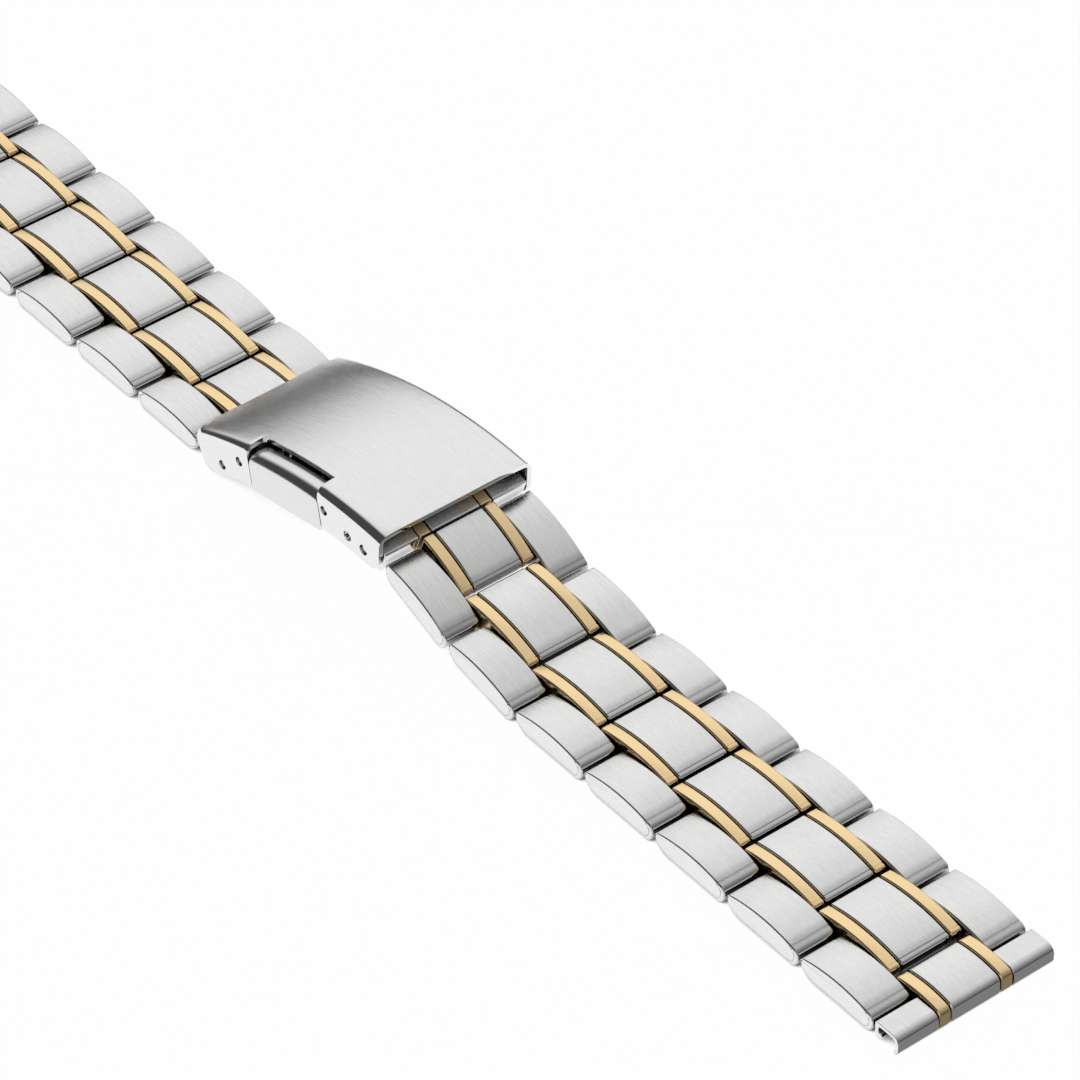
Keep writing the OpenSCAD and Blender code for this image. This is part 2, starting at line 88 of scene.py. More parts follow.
class BraceletSizes(bpy.types.PropertyGroup):
    """Sizes of the links and end pieces"""

    lug_width: bpy.props.FloatProperty(
        name="Lug width", description="Width of the end pieces", default=18 * MM, unit="LENGTH")
    row_taper: bpy.props.FloatProperty(
        name="Row taper", description="Width that each row loses towards the clasp",
        default=0.17 * MM, unit="LENGTH")
    outer_height: bpy.props.FloatProperty(
        name="Outer height", description="Height of an outer link at its crown",
        default=2.75 * MM, unit="LENGTH")
    outer_edge_height: bpy.props.FloatProperty(
        name="Outer edge height", description="Height of an outer link's arch at its ends",
        default=2.05 * MM, unit="LENGTH")
    middle_height: bpy.props.FloatProperty(
        name="Middle height", description="Height of the middle columns at their crown",
        default=3 * MM, unit="LENGTH")
    middle_edge_height: bpy.props.FloatProperty(
        name="Middle edge height", description="Height of the middle columns' arch at their ends",
        default=2.4 * MM, unit="LENGTH")
    centre_width: bpy.props.FloatProperty(
        name="Centre width", description="Width of the centre column", default=5.6 * MM, unit="LENGTH")
    gold_width: bpy.props.FloatProperty(
        name="Gold width", description="Width of a gold strip", default=1.3 * MM, unit="LENGTH")
    column_gap: bpy.props.FloatProperty(
        name="Column gap", description="Gap between two columns", default=0.12 * MM, unit="LENGTH")
    nose_radius: bpy.props.FloatProperty(
        name="Nose radius", description="Radius of a link's nose about its hinge pin",
        default=1.4 * MM, unit="LENGTH")
    heel_radius: bpy.props.FloatProperty(
        name="Heel radius", description="Radius under the other end of a link",
        default=1.9 * MM, unit="LENGTH")
    pin_radius: bpy.props.FloatProperty(
        name="Pin radius", description="Radius of the link pins", default=0.45 * MM, unit="LENGTH")
    corner_radius: bpy.props.FloatProperty(
        name="Corner radius", description="Radius of the outer links' inner corners from above",
        default=0.9 * MM, unit="LENGTH")
    gold_rounding: bpy.props.FloatProperty(
        name="Gold rounding", description="Radius of the gold strips' long edges",
        default=0.2 * MM, unit="LENGTH")
    edge_rounding: bpy.props.FloatProperty(
        name="Edge rounding", description="Radius of the polished long edges of steel links",
        default=0.22 * MM, unit="LENGTH")


class ClaspSizes(bpy.types.PropertyGroup):
    """Sizes of the clasp's cover and buttons"""

    cover_length: bpy.props.FloatProperty(
        name="Cover length", description="Length of the cover across its ends",
        default=29.3 * MM, unit="LENGTH")
    cover_rise: bpy.props.FloatProperty(
        name="Cover rise", description="Rise of the cover's arch", default=1.9 * MM, unit="LENGTH")
    cover_width: bpy.props.FloatProperty(
        name="Cover width", description="Width of the cover", default=17.9 * MM, unit="LENGTH")
    cover_sheet: bpy.props.FloatProperty(
        name="Cover sheet", description="Sheet thickness of the cover", default=0.5 * MM, unit="LENGTH")
    skirt_height: bpy.props.FloatProperty(
        name="Skirt height", description="Height of the side skirts", default=4.4 * MM, unit="LENGTH")
    cover_edge_radius: bpy.props.FloatProperty(
        name="Cover edge radius", description="Radius between the top and the skirts",
        default=1.0 * MM, unit="LENGTH")
    skirt_corner_radius: bpy.props.FloatProperty(
        name="Skirt corner radius", description="Radius of the skirts' lower corners",
        default=1.3 * MM, unit="LENGTH")
    notch_near: bpy.props.FloatProperty(
        name="Opening, near end", description="Near end of the button openings from the clasp's middle",
        default=5.15 * MM, unit="LENGTH")
    notch_far: bpy.props.FloatProperty(
        name="Opening, far end", description="Far end of the button openings from the clasp's middle",
        default=5.95 * MM, unit="LENGTH")
    notch_depth: bpy.props.FloatProperty(
        name="Notch depth", description="Depth of the near button's notch into the cover's top",
        default=2.3 * MM, unit="LENGTH")
    notch_rounding: bpy.props.FloatProperty(
        name="Notch rounding", description="Radius of the notch's inner corners",
        default=0.5 * MM, unit="LENGTH")
    window_top: bpy.props.FloatProperty(
        name="Window top",
        description="Height of the far button's window above the level of the cover's ends",
        default=0.8 * MM, unit="LENGTH")
    pin_radius: bpy.props.FloatProperty(
        name="Pin radius", description="Radius of the holes for the pins in the skirts",
        default=0.5 * MM, unit="LENGTH")
    bar_radius: bpy.props.FloatProperty(
        name="Spring bar radius", description="Radius of the spring bar between the skirts",
        default=0.75 * MM, unit="LENGTH")
    button_top: bpy.props.FloatProperty(
        name="Button top", description="Height of the near button above the level of the cover's ends",
        default=1.05 * MM, unit="LENGTH")
    button_drop: bpy.props.FloatProperty(
        name="Button drop", description="Depth of a button's underside below that level",
        default=3.2 * MM, unit="LENGTH")
    button_gap: bpy.props.FloatProperty(
        name="Button gap", description="Gap around a button", default=0.14 * MM, unit="LENGTH")
    button_rounding: bpy.props.FloatProperty(
        name="Button rounding", description="Radius of a button's outer top edge",
        default=1.35 * MM, unit="LENGTH")
    coil_radius: bpy.props.FloatProperty(
        name="Coil radius", description="Outer radius of the button springs",
        default=0.6 * MM, unit="LENGTH")
    coil_turns: bpy.props.IntProperty(
        name="Coil turns", description="Turns of each button spring", default=6, min=2)


class FinishColours(bpy.types.PropertyGroup):
    """Colours of the finishes"""

    steel: bpy.props.FloatVectorProperty(
        name="Brushed steel", description="Colour of the brushed steel", subtype="COLOR",
        default=(0.86, 0.86, 0.855), min=0, max=1)
    polished: bpy.props.FloatVectorProperty(
        name="Polished steel", description="Colour of the polished steel", subtype="COLOR",
        default=(0.8, 0.8, 0.8), min=0, max=1)
    inner: bpy.props.FloatVectorProperty(
        name="Inner steel", description="Colour of the stamped steel inside the clasp",
        subtype="COLOR", default=(0.52, 0.52, 0.52), min=0, max=1)
    gold: bpy.props.FloatVectorProperty(
        name="Gold plate", description="Colour of the gold plate", subtype="COLOR",
        default=(1.0, 0.75, 0.42), min=0, max=1)
    floor: bpy.props.FloatVectorProperty(
        name="Floor", description="Colour of the studio floor", subtype="COLOR",
        default=(0.9, 0.9, 0.9), min=0, max=1)


SETTINGS = {"bracelet_sizes": BraceletSizes, "clasp_sizes": ClaspSizes, "finish_colours": FinishColours}


def sizes(group):
    """A settings group's lengths in millimetres, by name."""
    settings = getattr(bpy.context.scene, group)
    return {name: getattr(settings, name) / MM for name in type(settings).__annotations__
            if isinstance(getattr(settings, name), float)}


# Plane geometry of side views: points are (s, z), with s along a row and z up


def polar(centre, radius, angle):
    return (centre[0] + radius * math.cos(angle), centre[1] + radius * math.sin(angle))


def between(low, high, count):
    return [low + (high - low) * i / count for i in range(count + 1)]


def arc(centre, radius, start, end, count):
    return [polar(centre, radius, angle) for angle in between(start, end, count)]


def circle(centre, radius, sides=ROUND_SIDES):
    return arc(centre, radius, 0, 2 * math.pi, sides)[:-1]


def circles_meet(c1, r1, c2, r2, side):
    """The point where two circles meet, on the left of the way from c1 to c2 where side is 1."""
    dx, dz = c2[0] - c1[0], c2[1] - c1[1]
    gap = math.hypot(dx, dz)
    along = (r1 * r1 - r2 * r2 + gap * gap) / (2 * gap)
    off = math.sqrt(max(r1 * r1 - along * along, 0.0)) * side
    return (c1[0] + (along * dx - off * dz) / gap, c1[1] + (along * dz + off * dx) / gap)


def angle_to(centre, point):
    return math.atan2(point[1] - centre[1], point[0] - centre[0])


class LinkSide:
    """Side view of a link: an arched top, a round nose about the pin at nose_s and a heel at end_s.

    roll_off is the radius between arch and nose, top_corner the one between arch and heel. blunt is added
    to the nose's radius, and its tip is then cut flat. grooved names the end with a ground lip, "nose" or
    "end".
    """

    PIN_Z = 1.3
    GROOVE = 0.05
    GROOVE_STEPS = ((0.29, 0), (0.26, 1), (0.2, 1), (0.17, 0))
    CORNER_STEPS, ARCH_STEPS, LIP_STEPS, ROLL_STEPS = 6, 22, 3, 8
    NOSE_STEPS, FLOOR_STEPS, HEEL_STEPS = 22, 4, 12

    def __init__(self, nose_s, end_s, crown, edge, nose_r, heel_r, roll_off, top_corner, blunt=0.0,
                 grooved=None):
        self.way = 1 if nose_s > end_s else -1
        self.nose = self.way * nose_s
        self.end = self.way * end_s
        self.nose_r, self.heel_r = nose_r + blunt, heel_r
        self.roll_off, self.top_corner = roll_off, top_corner
        self.grooved = grooved
        tip = self.nose + nose_r
        half = (tip - self.end) / 2
        sagitta = crown - edge
        self.arch_r = (half * half + sagitta * sagitta) / (2 * sagitta)
        self.arch_c = ((tip + self.end) / 2, crown - self.arch_r)
        self.low, self.high = sorted((self.way * tip, self.way * self.end))

    def arch(self, radius, a_corner, a_arch, depth):
        """The arch's points after its first, with the fine groove that sets off a ground lip at one end."""
        at_nose = self.grooved == "nose"
        first, last = (a_corner, a_arch) if at_nose else (a_arch, a_corner)
        way = 1 if at_nose else -1
        stops = [(last + way * reach / radius, deep) for reach, deep in self.GROOVE_STEPS]
        turns = [(a, 0) for a in between(first, stops[0][0], self.ARCH_STEPS)[:-1]] + stops
        turns += [(a, 0) for a in between(stops[-1][0], last, self.LIP_STEPS)[1:]]
        if not at_nose:
            turns.reverse()
        depth = depth if self.grooved else 0.0
        return [polar(self.arch_c, radius - depth * deep, a) for a, deep in turns[1:]]

    def loop(self, top=0.0, nose=None, bottom=None, end=None, roll_off=None, corner=None, groove=GROOVE):
        """Closed outline, set in by top, nose, bottom and end, with the same count of points each time."""
        nose = top if nose is None else nose
        bottom = top if bottom is None else bottom
        end = top if end is None else end
        roll_off = self.roll_off - top if roll_off is None else roll_off
        corner = self.top_corner - top if corner is None else corner
        arch_r, nose_r = self.arch_r - top, self.nose_r - nose
        nose_c = (self.nose, self.PIN_Z)
        roll_c = circles_meet(self.arch_c, arch_r - roll_off, nose_c, nose_r - roll_off, 1)
        if roll_c[0] < self.nose:
            roll_c = circles_meet(self.arch_c, arch_r - roll_off, nose_c, nose_r - roll_off, -1)
        a_arch = angle_to(self.arch_c, roll_c)
        a_nose = angle_to(nose_c, roll_c)
        end_s = self.end + end
        heel_c = (self.end + self.heel_r, self.heel_r)
        heel_w, heel_h = self.heel_r - end, self.heel_r - bottom
        corner_s = end_s + corner
        corner_z = self.arch_c[1] + math.sqrt((arch_r - corner) ** 2 - (corner_s - self.arch_c[0]) ** 2)
        a_heel = math.pi
        if corner_z < self.heel_r:
            corner_s, corner_z = circles_meet(self.arch_c, arch_r - corner, heel_c, heel_w - corner, 1)
            a_heel = angle_to(heel_c, (corner_s, corner_z)) % (2 * math.pi)
        corner_c = (corner_s, corner_z)
        a_corner = angle_to(self.arch_c, corner_c)
        points = arc(corner_c, corner, a_heel, a_corner, self.CORNER_STEPS)
        points += self.arch(arch_r, a_corner, a_arch, groove)
        points += arc(roll_c, roll_off, a_arch, a_nose, self.ROLL_STEPS)[1:]
        reach = (self.PIN_Z - bottom) / nose_r
        a_low = -math.asin(reach) if reach < 1 else -math.pi / 2
        points += arc(nose_c, nose_r, a_nose, a_low, self.NOSE_STEPS)[1:]
        points += [(s, bottom) for s in between(points[-1][0], heel_c[0], self.FLOOR_STEPS)[1:]]
        for a in between(1.5 * math.pi, a_heel, self.HEEL_STEPS)[1:]:
            points.append((heel_c[0] + heel_w * math.cos(a), heel_c[1] + heel_h * math.sin(a)))
        return [(self.way * s, z) for s, z in points]


def cut(loop, low, high):
    """The outline with all that lies beyond low and high flattened onto them."""
    return [(min(max(s, low), high), z) for s, z in loop]


class Placing:
    """Turns points of a side view into the bracelet's frame, in metres."""

    def __init__(self, local_a, local_b, world_a, world_b, mirrored=False):
        self.sign = -1 if mirrored else 1
        start, aim = [(self.sign * x, z) for x, z in (world_a, world_b)]
        turn = angle_to(start, aim) - angle_to(local_a, local_b)
        self.c, self.s = math.cos(turn), math.sin(turn)
        self.x = start[0] - (self.c * local_a[0] - self.s * local_a[1])
        self.z = start[1] - (self.s * local_a[0] + self.c * local_a[1])

    def point(self, s, y, z):
        x = self.x + self.c * s - self.s * z
        return Vector((self.sign * x * MM, y * MM, (self.z + self.s * s + self.c * z) * MM))


def joint_at(name):
    place = JOINTS[name]["pos_m"]
    return (place[0] / MM, place[2] / MM)


# Holes in a row's side view: the hinge pin, the next row's hinge pin, the fixed bar and the clasp's tube
PIN = (-1.5, LinkSide.PIN_Z)
NEXT_PIN = (8.5, LinkSide.PIN_Z)
FIXED_BAR = (3.3, LinkSide.PIN_Z)
TUBE_AXIS = (-2.3, 1.2)
FIRST_ROW_START = 0.15


def row_placing(half, k):
    """Placing of row k of a half, or of its end piece where k is one more than the rows."""
    here = joint_at(f"bend_{half}_{k}" if k <= ROWS else f"bend_{half}_end")
    mirrored = half == "far"
    if k > ROWS:
        way = -1 if mirrored else 1
        there = (here[0] + way * (NEXT_PIN[0] - PIN[0]), here[1])
    else:
        there = joint_at(f"bend_{half}_{k + 1}" if k < ROWS else f"bend_{half}_end")
    start = TUBE_AXIS if half == "near" and k == 1 else PIN
    return Placing(start, NEXT_PIN, here, there, mirrored)


# Holes in the cover's skirts: place along the chord, and depth below the arch
COVER_HINGE = (-10.63, 3.26)
SPRING_BAR = (11.63, 3.1)
CARRIER_PINS = ((-7.53, 2.15), (5.95, 2.15))
SPARE_HOLE = (9.31, 3.0)


class CoverArch:
    """The cover's arch: u along its chord, w square to the chord, depth measured in from the arch."""

    def __init__(self, size):
        self.half, rise = size["cover_length"] / 2, size["cover_rise"]
        self.radius = (self.half ** 2 + rise ** 2) / (2 * rise)
        self.centre = (0.0, rise - self.radius)
        self.angle = math.asin(self.half / self.radius)

    def at(self, u, depth):
        return (u, self.centre[1] + math.sqrt((self.radius - depth) ** 2 - u * u))

    def leaning(self, u, depth, upright):
        """The point under u on a line that is upright up to a distance and radial at the ends."""
        lean = min(max((abs(u) - upright) / (self.half - upright), 0.0), 1.0)
        return self.at(u * (1 - lean * depth / self.radius), depth)

    def placing(self):
        return Placing(self.at(*COVER_HINGE), self.at(*SPRING_BAR),
                       joint_at("open_inner_blade"), joint_at("bend_near_1"))


def inset_at(radius, t):
    """How far a surface stands back at the distance t from a face whose edge is round."""
    return radius - math.sqrt(max(radius ** 2 - (radius - t) ** 2, 0.0)) if t < radius else 0.0


def rounding(radius, steps=4):
    """(distance from a side face, inset) pairs that round the edge off."""
    return [(radius * (1 - math.cos(a)), radius * (1 - math.sin(a)))
            for a in between(0, math.pi / 2, steps)]


class Builder:
    """Collects closed shells in a side view's frame and makes one mesh object of them."""

    MERGED_WITHIN = 1e-7

    def __init__(self, placing, lip=None):
        """lip is (s, way, width): a link's ground end, the way it points and how far the lip reaches."""
        self.placing = placing
        self.bm = bmesh.new()
        self.lip = lip
        self.to_end = self.bm.verts.layers.float.new("to_end")

    def ring(self, y, loop):
        made = [self.bm.verts.new(self.placing.point(s, y, z)) for s, z in loop]
        if self.lip:
            end, way, width = self.lip
            for vert, (s, _) in zip(made, loop):
                vert[self.to_end] = max(width + 1 - way * (end - s), 0.0)
        return made

    def wall(self, a, b):
        for a0, a1, b0, b1 in zip(a, a[1:] + a[:1], b, b[1:] + b[:1]):
            self.bm.faces.new((a0, a1, b1, b0))

    def cap(self, ring, holes=()):
        if not holes:
            self.bm.faces.new(ring)
            return
        edges = []
        for loop in (ring, *holes):
            for a, b in zip(loop, loop[1:] + loop[:1]):
                edges.append(self.bm.edges.get((a, b)) or self.bm.edges.new((a, b)))
        bmesh.ops.triangle_fill(self.bm, use_beauty=True, edges=edges)

    def loft(self, stations, bores=(), last_cap=True):
        """A closed shell through (y, outline) stations, with bores of (centre, radius) right through it."""
        rings = [self.ring(y, loop) for y, loop in stations]
        for a, b in zip(rings, rings[1:]):
            self.wall(a, b)
        first, last = [], []
        for centre, radius in bores:
            ends = [self.ring(stations[i][0], circle(centre, radius, BORE_SIDES)) for i in (0, -1)]
            self.wall(*ends)
            first.append(ends[0])
            last.append(ends[1])
        self.cap(rings[0], first)
        if last_cap:
            self.cap(rings[-1], last)
        return rings

    def turned(self, centre, steps):
        """A round bar along Y through (y, radius) steps to the middle, and out again on the other side."""
        steps = [*steps, *((-y, radius) for y, radius in reversed(steps))]
        self.loft([(y, circle(centre, radius)) for y, radius in steps])

    def pin(self, centre, radius, half, chamfer=0.0):
        """A round bar along Y that reaches as far on one side as on the other."""
        tip = [(-half, radius - chamfer)] if chamfer else []
        self.turned(centre, [*tip, (chamfer - half, radius)])

    def plate(self, outline, low, high):
        """A flat plate with an outline of (s, y) points, from low to high."""
        rings = [[self.bm.verts.new(self.placing.point(s, y, z)) for s, y in outline] for z in (low, high)]
        self.wall(*rings)
        for ring in rings:
            self.cap(ring)

    def finish(self, name, materials, sharp=32, bevel=0.0):
        bmesh.ops.remove_doubles(self.bm, verts=self.bm.verts, dist=self.MERGED_WITHIN)
        bmesh.ops.dissolve_degenerate(self.bm, dist=self.MERGED_WITHIN, edges=self.bm.edges)
        bmesh.ops.recalc_face_normals(self.bm, faces=self.bm.faces)
        mesh = bpy.data.meshes.new(name)
        self.bm.to_mesh(mesh)
        self.bm.free()
        return dress(bpy.data.objects.new(name, mesh), materials, sharp, bevel)


def bar(builder, outline, y0, y1, radius, steps=4, bores=()):
    """A bar from y0 to y1 with round edges at both ends: outline gives the side view for each inset."""
    way = 1 if y1 > y0 else -1
    edges = rounding(radius, steps)
    stations = [(y0 + way * t, outline(inset)) for t, inset in edges]
    stations += [(y1 - way * t, outline(inset)) for t, inset in reversed(edges)]
    builder.loft(stations, bores)


def column(builder, side, y0, y1, radius, first=False, bores=()):
    """One middle column with round long edges, which in the first near row starts at the clasp's tube."""
    def outline(inset):
        return cut(side.loop(inset), FIRST_ROW_START + inset if first else side.low, side.high)

    bar(builder, outline, y0, y1, radius, 6, bores)


def column_edges(size):
    """How far out the centre link reaches, a gold strip starts and ends, and an outer link starts."""
    centre = size["centre_width"] / 2
    gold_in = centre + size["column_gap"]
    gold_out = gold_in + size["gold_width"]
    return centre, gold_in, gold_out, gold_out + size["column_gap"]


def lip_end(side, half, width):
    """The ground end of a half's links: where it is, which way it points and how far the lip reaches."""
    return (side.high, 1, width) if half == "near" else (side.low, -1, width)


def dress(piece, materials, sharp=32, bevel=0.0):
    """Links a piece into the scene with its materials, crisp shading and edges broken by a bevel in mm."""
    mesh = piece.data
    for material in materials:
        mesh.materials.append(material)
    for face in mesh.polygons:
        face.use_smooth = True
    bpy.context.scene.collection.objects.link(piece)
    if bevel:
        broken = piece.modifiers.new("Broken edges", "BEVEL")
        broken.width = bevel * MM
        broken.segments = 3
        broken.limit_method = "ANGLE"
        broken.angle_limit = math.radians(sharp)
    else:
        mesh.set_sharp_from_angle(angle=math.radians(sharp))
    weighted = piece.modifiers.new("Even shading", "WEIGHTED_NORMAL")
    weighted.keep_sharp = True
    weighted.weight = 60
    return piece


def stand_for(piece, body, slot, *nodes):
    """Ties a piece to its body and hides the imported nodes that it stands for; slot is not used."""
    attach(piece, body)
    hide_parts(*nodes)
    return piece


# Materials


class NodeTree:
    """Short calls for wiring a material or world."""

    def __init__(self, tree):
        self.nodes, self.links = tree.nodes, tree.links

    def node(self, kind, **values):
        made = self.nodes.new(kind)
        for name, value in values.items():
            setattr(made, name, value)
        return made

    def put(self, socket, value):
        if isinstance(value, bpy.types.NodeSocket):
            self.links.new(value, socket)
        else:
            socket.default_value = value

    def fill(self, made, *values):
        """Puts values into a node's first sockets and gives its first output."""
        for socket, value in zip(made.inputs, values):
            self.put(socket, value)
        return made.outputs[0]

    def math(self, operation, *values):
        return self.fill(self.node("ShaderNodeMath", operation=operation), *values)

    def times(self, a, b):
        return self.math("MULTIPLY", a, b)

    def plus(self, a, b):
        return self.math("ADD", a, b)

    def larger(self, a, b):
        return self.math("MAXIMUM", a, b)

    def rest_of(self, share):
        return self.math("SUBTRACT", 1.0, share)

    def sway(self, value, amount):
        """A value around 0.5, turned into one around 0 and scaled."""
        return self.times(self.math("SUBTRACT", value, 0.5), amount)

    def vector(self, operation, *values):
        made = self.node("ShaderNodeVectorMath", operation=operation)
        self.fill(made, *values)
        return made.outputs["Value" if operation == "DOT_PRODUCT" else "Vector"]

    def parts(self, vector):
        made = self.node("ShaderNodeSeparateXYZ")
        self.put(made.inputs[0], vector)
        return made.outputs

    def ramp(self, value, low, high, to_low=0.0, to_high=1.0):
        made = self.node("ShaderNodeMapRange", interpolation_type="SMOOTHSTEP")
        return self.fill(made, value, low, high, to_low, to_high)

    def noise(self, vector, scale, detail=2.0, roughness=0.5, stretch=None):
        if stretch:
            mapping = self.node("ShaderNodeMapping", vector_type="POINT")
            self.put(mapping.inputs["Vector"], vector)
            mapping.inputs["Scale"].default_value = stretch
            vector = mapping.outputs["Vector"]
        made = self.node("ShaderNodeTexNoise", noise_dimensions="3D")
        values = {"Vector": vector, "Scale": scale, "Detail": detail, "Roughness": roughness}
        for name, value in values.items():
            self.put(made.inputs[name], value)
        return made.outputs["Fac"]

    def openness(self, distance, samples):
        """1 where nothing is near, and less where other pieces or folds keep the light out."""
        made = self.node("ShaderNodeAmbientOcclusion", samples=samples, only_local=False)
        made.inputs["Distance"].default_value = distance
        return made.outputs["AO"]

    def crevice(self, distance=0.0024):
        """Painted shade: 1 on open surfaces, and dark in the gaps between pieces, where other pieces keep the
        light out.
        """
        return self.ramp(self.openness(distance, 5), 0.12, 0.5, 0.03, 1.0)

    def mix(self, factor, a, b):
        made = self.node("ShaderNodeMix", data_type="FLOAT")
        for socket, value in zip((made.inputs[0], made.inputs[2], made.inputs[3]), (factor, a, b)):
            self.put(socket, value)
        return made.outputs[0]

    def ray(self, kind):
        return self.node("ShaderNodeLightPath").outputs[f"Is {kind} Ray"]


class Metal(NodeTree):
    """A metal finish on its own material."""

    def __init__(self, name):
        self.material = bpy.data.materials.new(name)
        self.material.use_nodes = True
        super().__init__(self.material.node_tree)
        self.shader = self.nodes["Principled BSDF"]
        self.shader.inputs["Metallic"].default_value = 1.0
        self.place = self.node("ShaderNodeTexCoord").outputs["Object"]

    def colour(self, colour, sway, kept):
        """The base colour, with its brightness swaying about 1 and then kept in part by painted shade."""
        made = self.node("ShaderNodeVectorMath", operation="SCALE")
        made.inputs[0].default_value = colour
        self.put(made.inputs["Scale"], self.times(self.plus(sway, 1.0), kept))
        self.put(self.shader.inputs["Base Color"], made.outputs[0])

    def bump(self, height, strength, distance):
        made = self.node("ShaderNodeBump")
        for name, value in (("Height", height), ("Strength", strength), ("Distance", distance)):
            self.put(made.inputs[name], value)
        self.put(self.shader.inputs["Normal"], made.outputs[0])


# Directions between which a face turns into a side face, a rounded long edge or the end of a link
SIDE_FACES, LONG_EDGES, LINK_ENDS = (0.9, 0.97), (0.22, 0.4), (0.52, 0.7)
# Along a link's ground end, "to_end" is 1 in the groove and grows towards the tip
# Painted shade: the first ramp darkens a link towards its ground end, the second paints a dark line of shade
# in the groove
END_SHADE_RAMP, GROOVE, BEYOND_GROOVE = (0.0, 0.95), (0.02, 0.07, 0.55, 1.0), (1.04, 1.12)
END_SHADE_LEAST, END_SHADE_GRAIN = 0.1, 0.36
# Long and short streaks: share, detail, roughness, and stretch on the top and on the side faces
STREAKS = ((0.8, 3.0, 0.65, (0.7, 7.5, 0.7), (0.7, 0.7, 7.5)),
           (0.2, 2.0, 0.5, (0.12, 1.6, 0.12), (0.1, 0.1, 1.6)))
STREAK_SCALE = 1000
STREAK_BUMP, STREAK_ROUGHNESS = 0.5, 0.12
# Noises: scale per metre, detail, roughness and stretch; the first grains the painted shade at a link's
# ground end
END_SHADE_NOISE, BRUSHED_CLOUDS, POLISHED_CLOUDS = (7000, 2.0, 0.7), (140, 3.0), (300, 3.0)
HAIRLINES = (900, 3.0, 0.6, (0.5, 6.0, 6.0))
STAMPED_GRAIN, STAINS = (9000, 2.0, 0.7), (220, 4.0)
# Depth of the relief in metres
BRUSHED_RELIEF, FINE_RELIEF = 0.00004, 0.00002


def brushed_metal(name, colour, roughness, anisotropy, contrast, edge_roughness=0.12):
    """Metal brushed along the bracelet, with smooth polished bands where its edges are rounded, and painted
    shade towards its ground end, in its groove and in the gaps between pieces.
    """
    metal = Metal(name)
    normal = metal.node("ShaderNodeNewGeometry").outputs["Normal"]
    sideways = metal.math("ABSOLUTE", metal.parts(normal)["Y"])
    on_side = metal.ramp(sideways, *SIDE_FACES)
    lengthwise = metal.node("ShaderNodeVectorTransform", vector_type="VECTOR", convert_from="OBJECT",
                            convert_to="WORLD")
    lengthwise = metal.fill(lengthwise, (1.0, 0.0, 0.0))
    endways = metal.math("ABSOLUTE", metal.vector("DOT_PRODUCT", normal, lengthwise))
    edge = metal.larger(metal.times(metal.ramp(sideways, *LONG_EDGES), metal.rest_of(on_side)),
                        metal.ramp(endways, *LINK_ENDS))

    # The ground lip at one end: painted shade darkens the top towards it, a painted dark line of shade marks
    # the groove before it, and it is polished beyond
    to_end = metal.node("ShaderNodeAttribute", attribute_name="to_end").outputs["Fac"]
    to_end = metal.times(to_end, metal.rest_of(on_side))
    grain = metal.noise(metal.place, *END_SHADE_NOISE)
    painted_end_shade = metal.times(metal.ramp(to_end, *END_SHADE_RAMP),
                          metal.plus(END_SHADE_LEAST, metal.times(grain, END_SHADE_GRAIN)))
    # Painted shade: a thin dark line along the groove before the lip
    from_groove = metal.math("ABSOLUTE", metal.math("SUBTRACT", to_end, 1.0))
    groove = metal.ramp(from_groove, *GROOVE)
    edge = metal.larger(edge, metal.ramp(to_end, *BEYOND_GROOVE))

    # The brushing: streaks along the top, and along the side faces
    streaks = []
    for share, detail, grit, top, side in STREAKS:
        faces = [metal.noise(metal.place, STREAK_SCALE, detail, grit, stretch) for stretch in (top, side)]
        streaks.append(metal.times(metal.mix(on_side, *faces), share))
    streak = metal.plus(*streaks)
    flat = metal.rest_of(edge)
    cloud = metal.noise(metal.place, *BRUSHED_CLOUDS)
    sway = metal.plus(metal.sway(streak, metal.times(flat, contrast)), metal.sway(cloud, 0.05))
    # Painted shade: darker towards the ground end, a dark line in the groove, and darker in the gaps between
    # pieces
    kept = metal.times(metal.times(metal.rest_of(painted_end_shade), groove), metal.crevice())
    metal.colour(colour, sway, kept)
    rough = metal.plus(roughness - STREAK_ROUGHNESS / 2, metal.times(streak, STREAK_ROUGHNESS))
    metal.put(metal.shader.inputs["Roughness"], metal.mix(edge, rough, edge_roughness))
    metal.bump(streak, metal.times(flat, STREAK_BUMP), BRUSHED_RELIEF)

    # A brushed surface spreads its reflections across the streaks
    across = metal.vector("CROSS_PRODUCT", normal, lengthwise)
    metal.put(metal.shader.inputs["Tangent"], metal.vector("ADD", across, (0.0, 0.02, 0.0)))
    metal.shader.inputs["Anisotropic"].default_value = anisotropy
    return metal.material


def polished_metal(name, colour, roughness, wear=0.05):
    """Polished metal with faint hairlines and clouding, and painted shade in the gaps between pieces."""
    metal = Metal(name)
    hair = metal.noise(metal.place, *HAIRLINES)
    cloud = metal.noise(metal.place, *POLISHED_CLOUDS)
    metal.colour(colour, metal.plus(metal.sway(hair, 2 * wear), metal.sway(cloud, wear)), metal.crevice())
    metal.put(metal.shader.inputs["Roughness"], metal.plus(roughness, metal.times(cloud, 0.08)))
    metal.bump(hair, 0.12, FINE_RELIEF)
    return metal.material


def stamped_metal(name, colour, roughness):
    """Satin stamped sheet, with a fine grain and slight stains, and painted shade in the gaps between pieces.
    """
    metal = Metal(name)
    grain = metal.noise(metal.place, *STAMPED_GRAIN)
    stain = metal.noise(metal.place, *STAINS)
    metal.colour(colour, metal.plus(metal.sway(grain, 0.2), metal.sway(stain, 0.3)), metal.crevice(0.003))
    metal.put(metal.shader.inputs["Roughness"], metal.plus(roughness, metal.times(stain, 0.15)))
    metal.bump(grain, 0.15, FINE_RELIEF)
    return metal.material


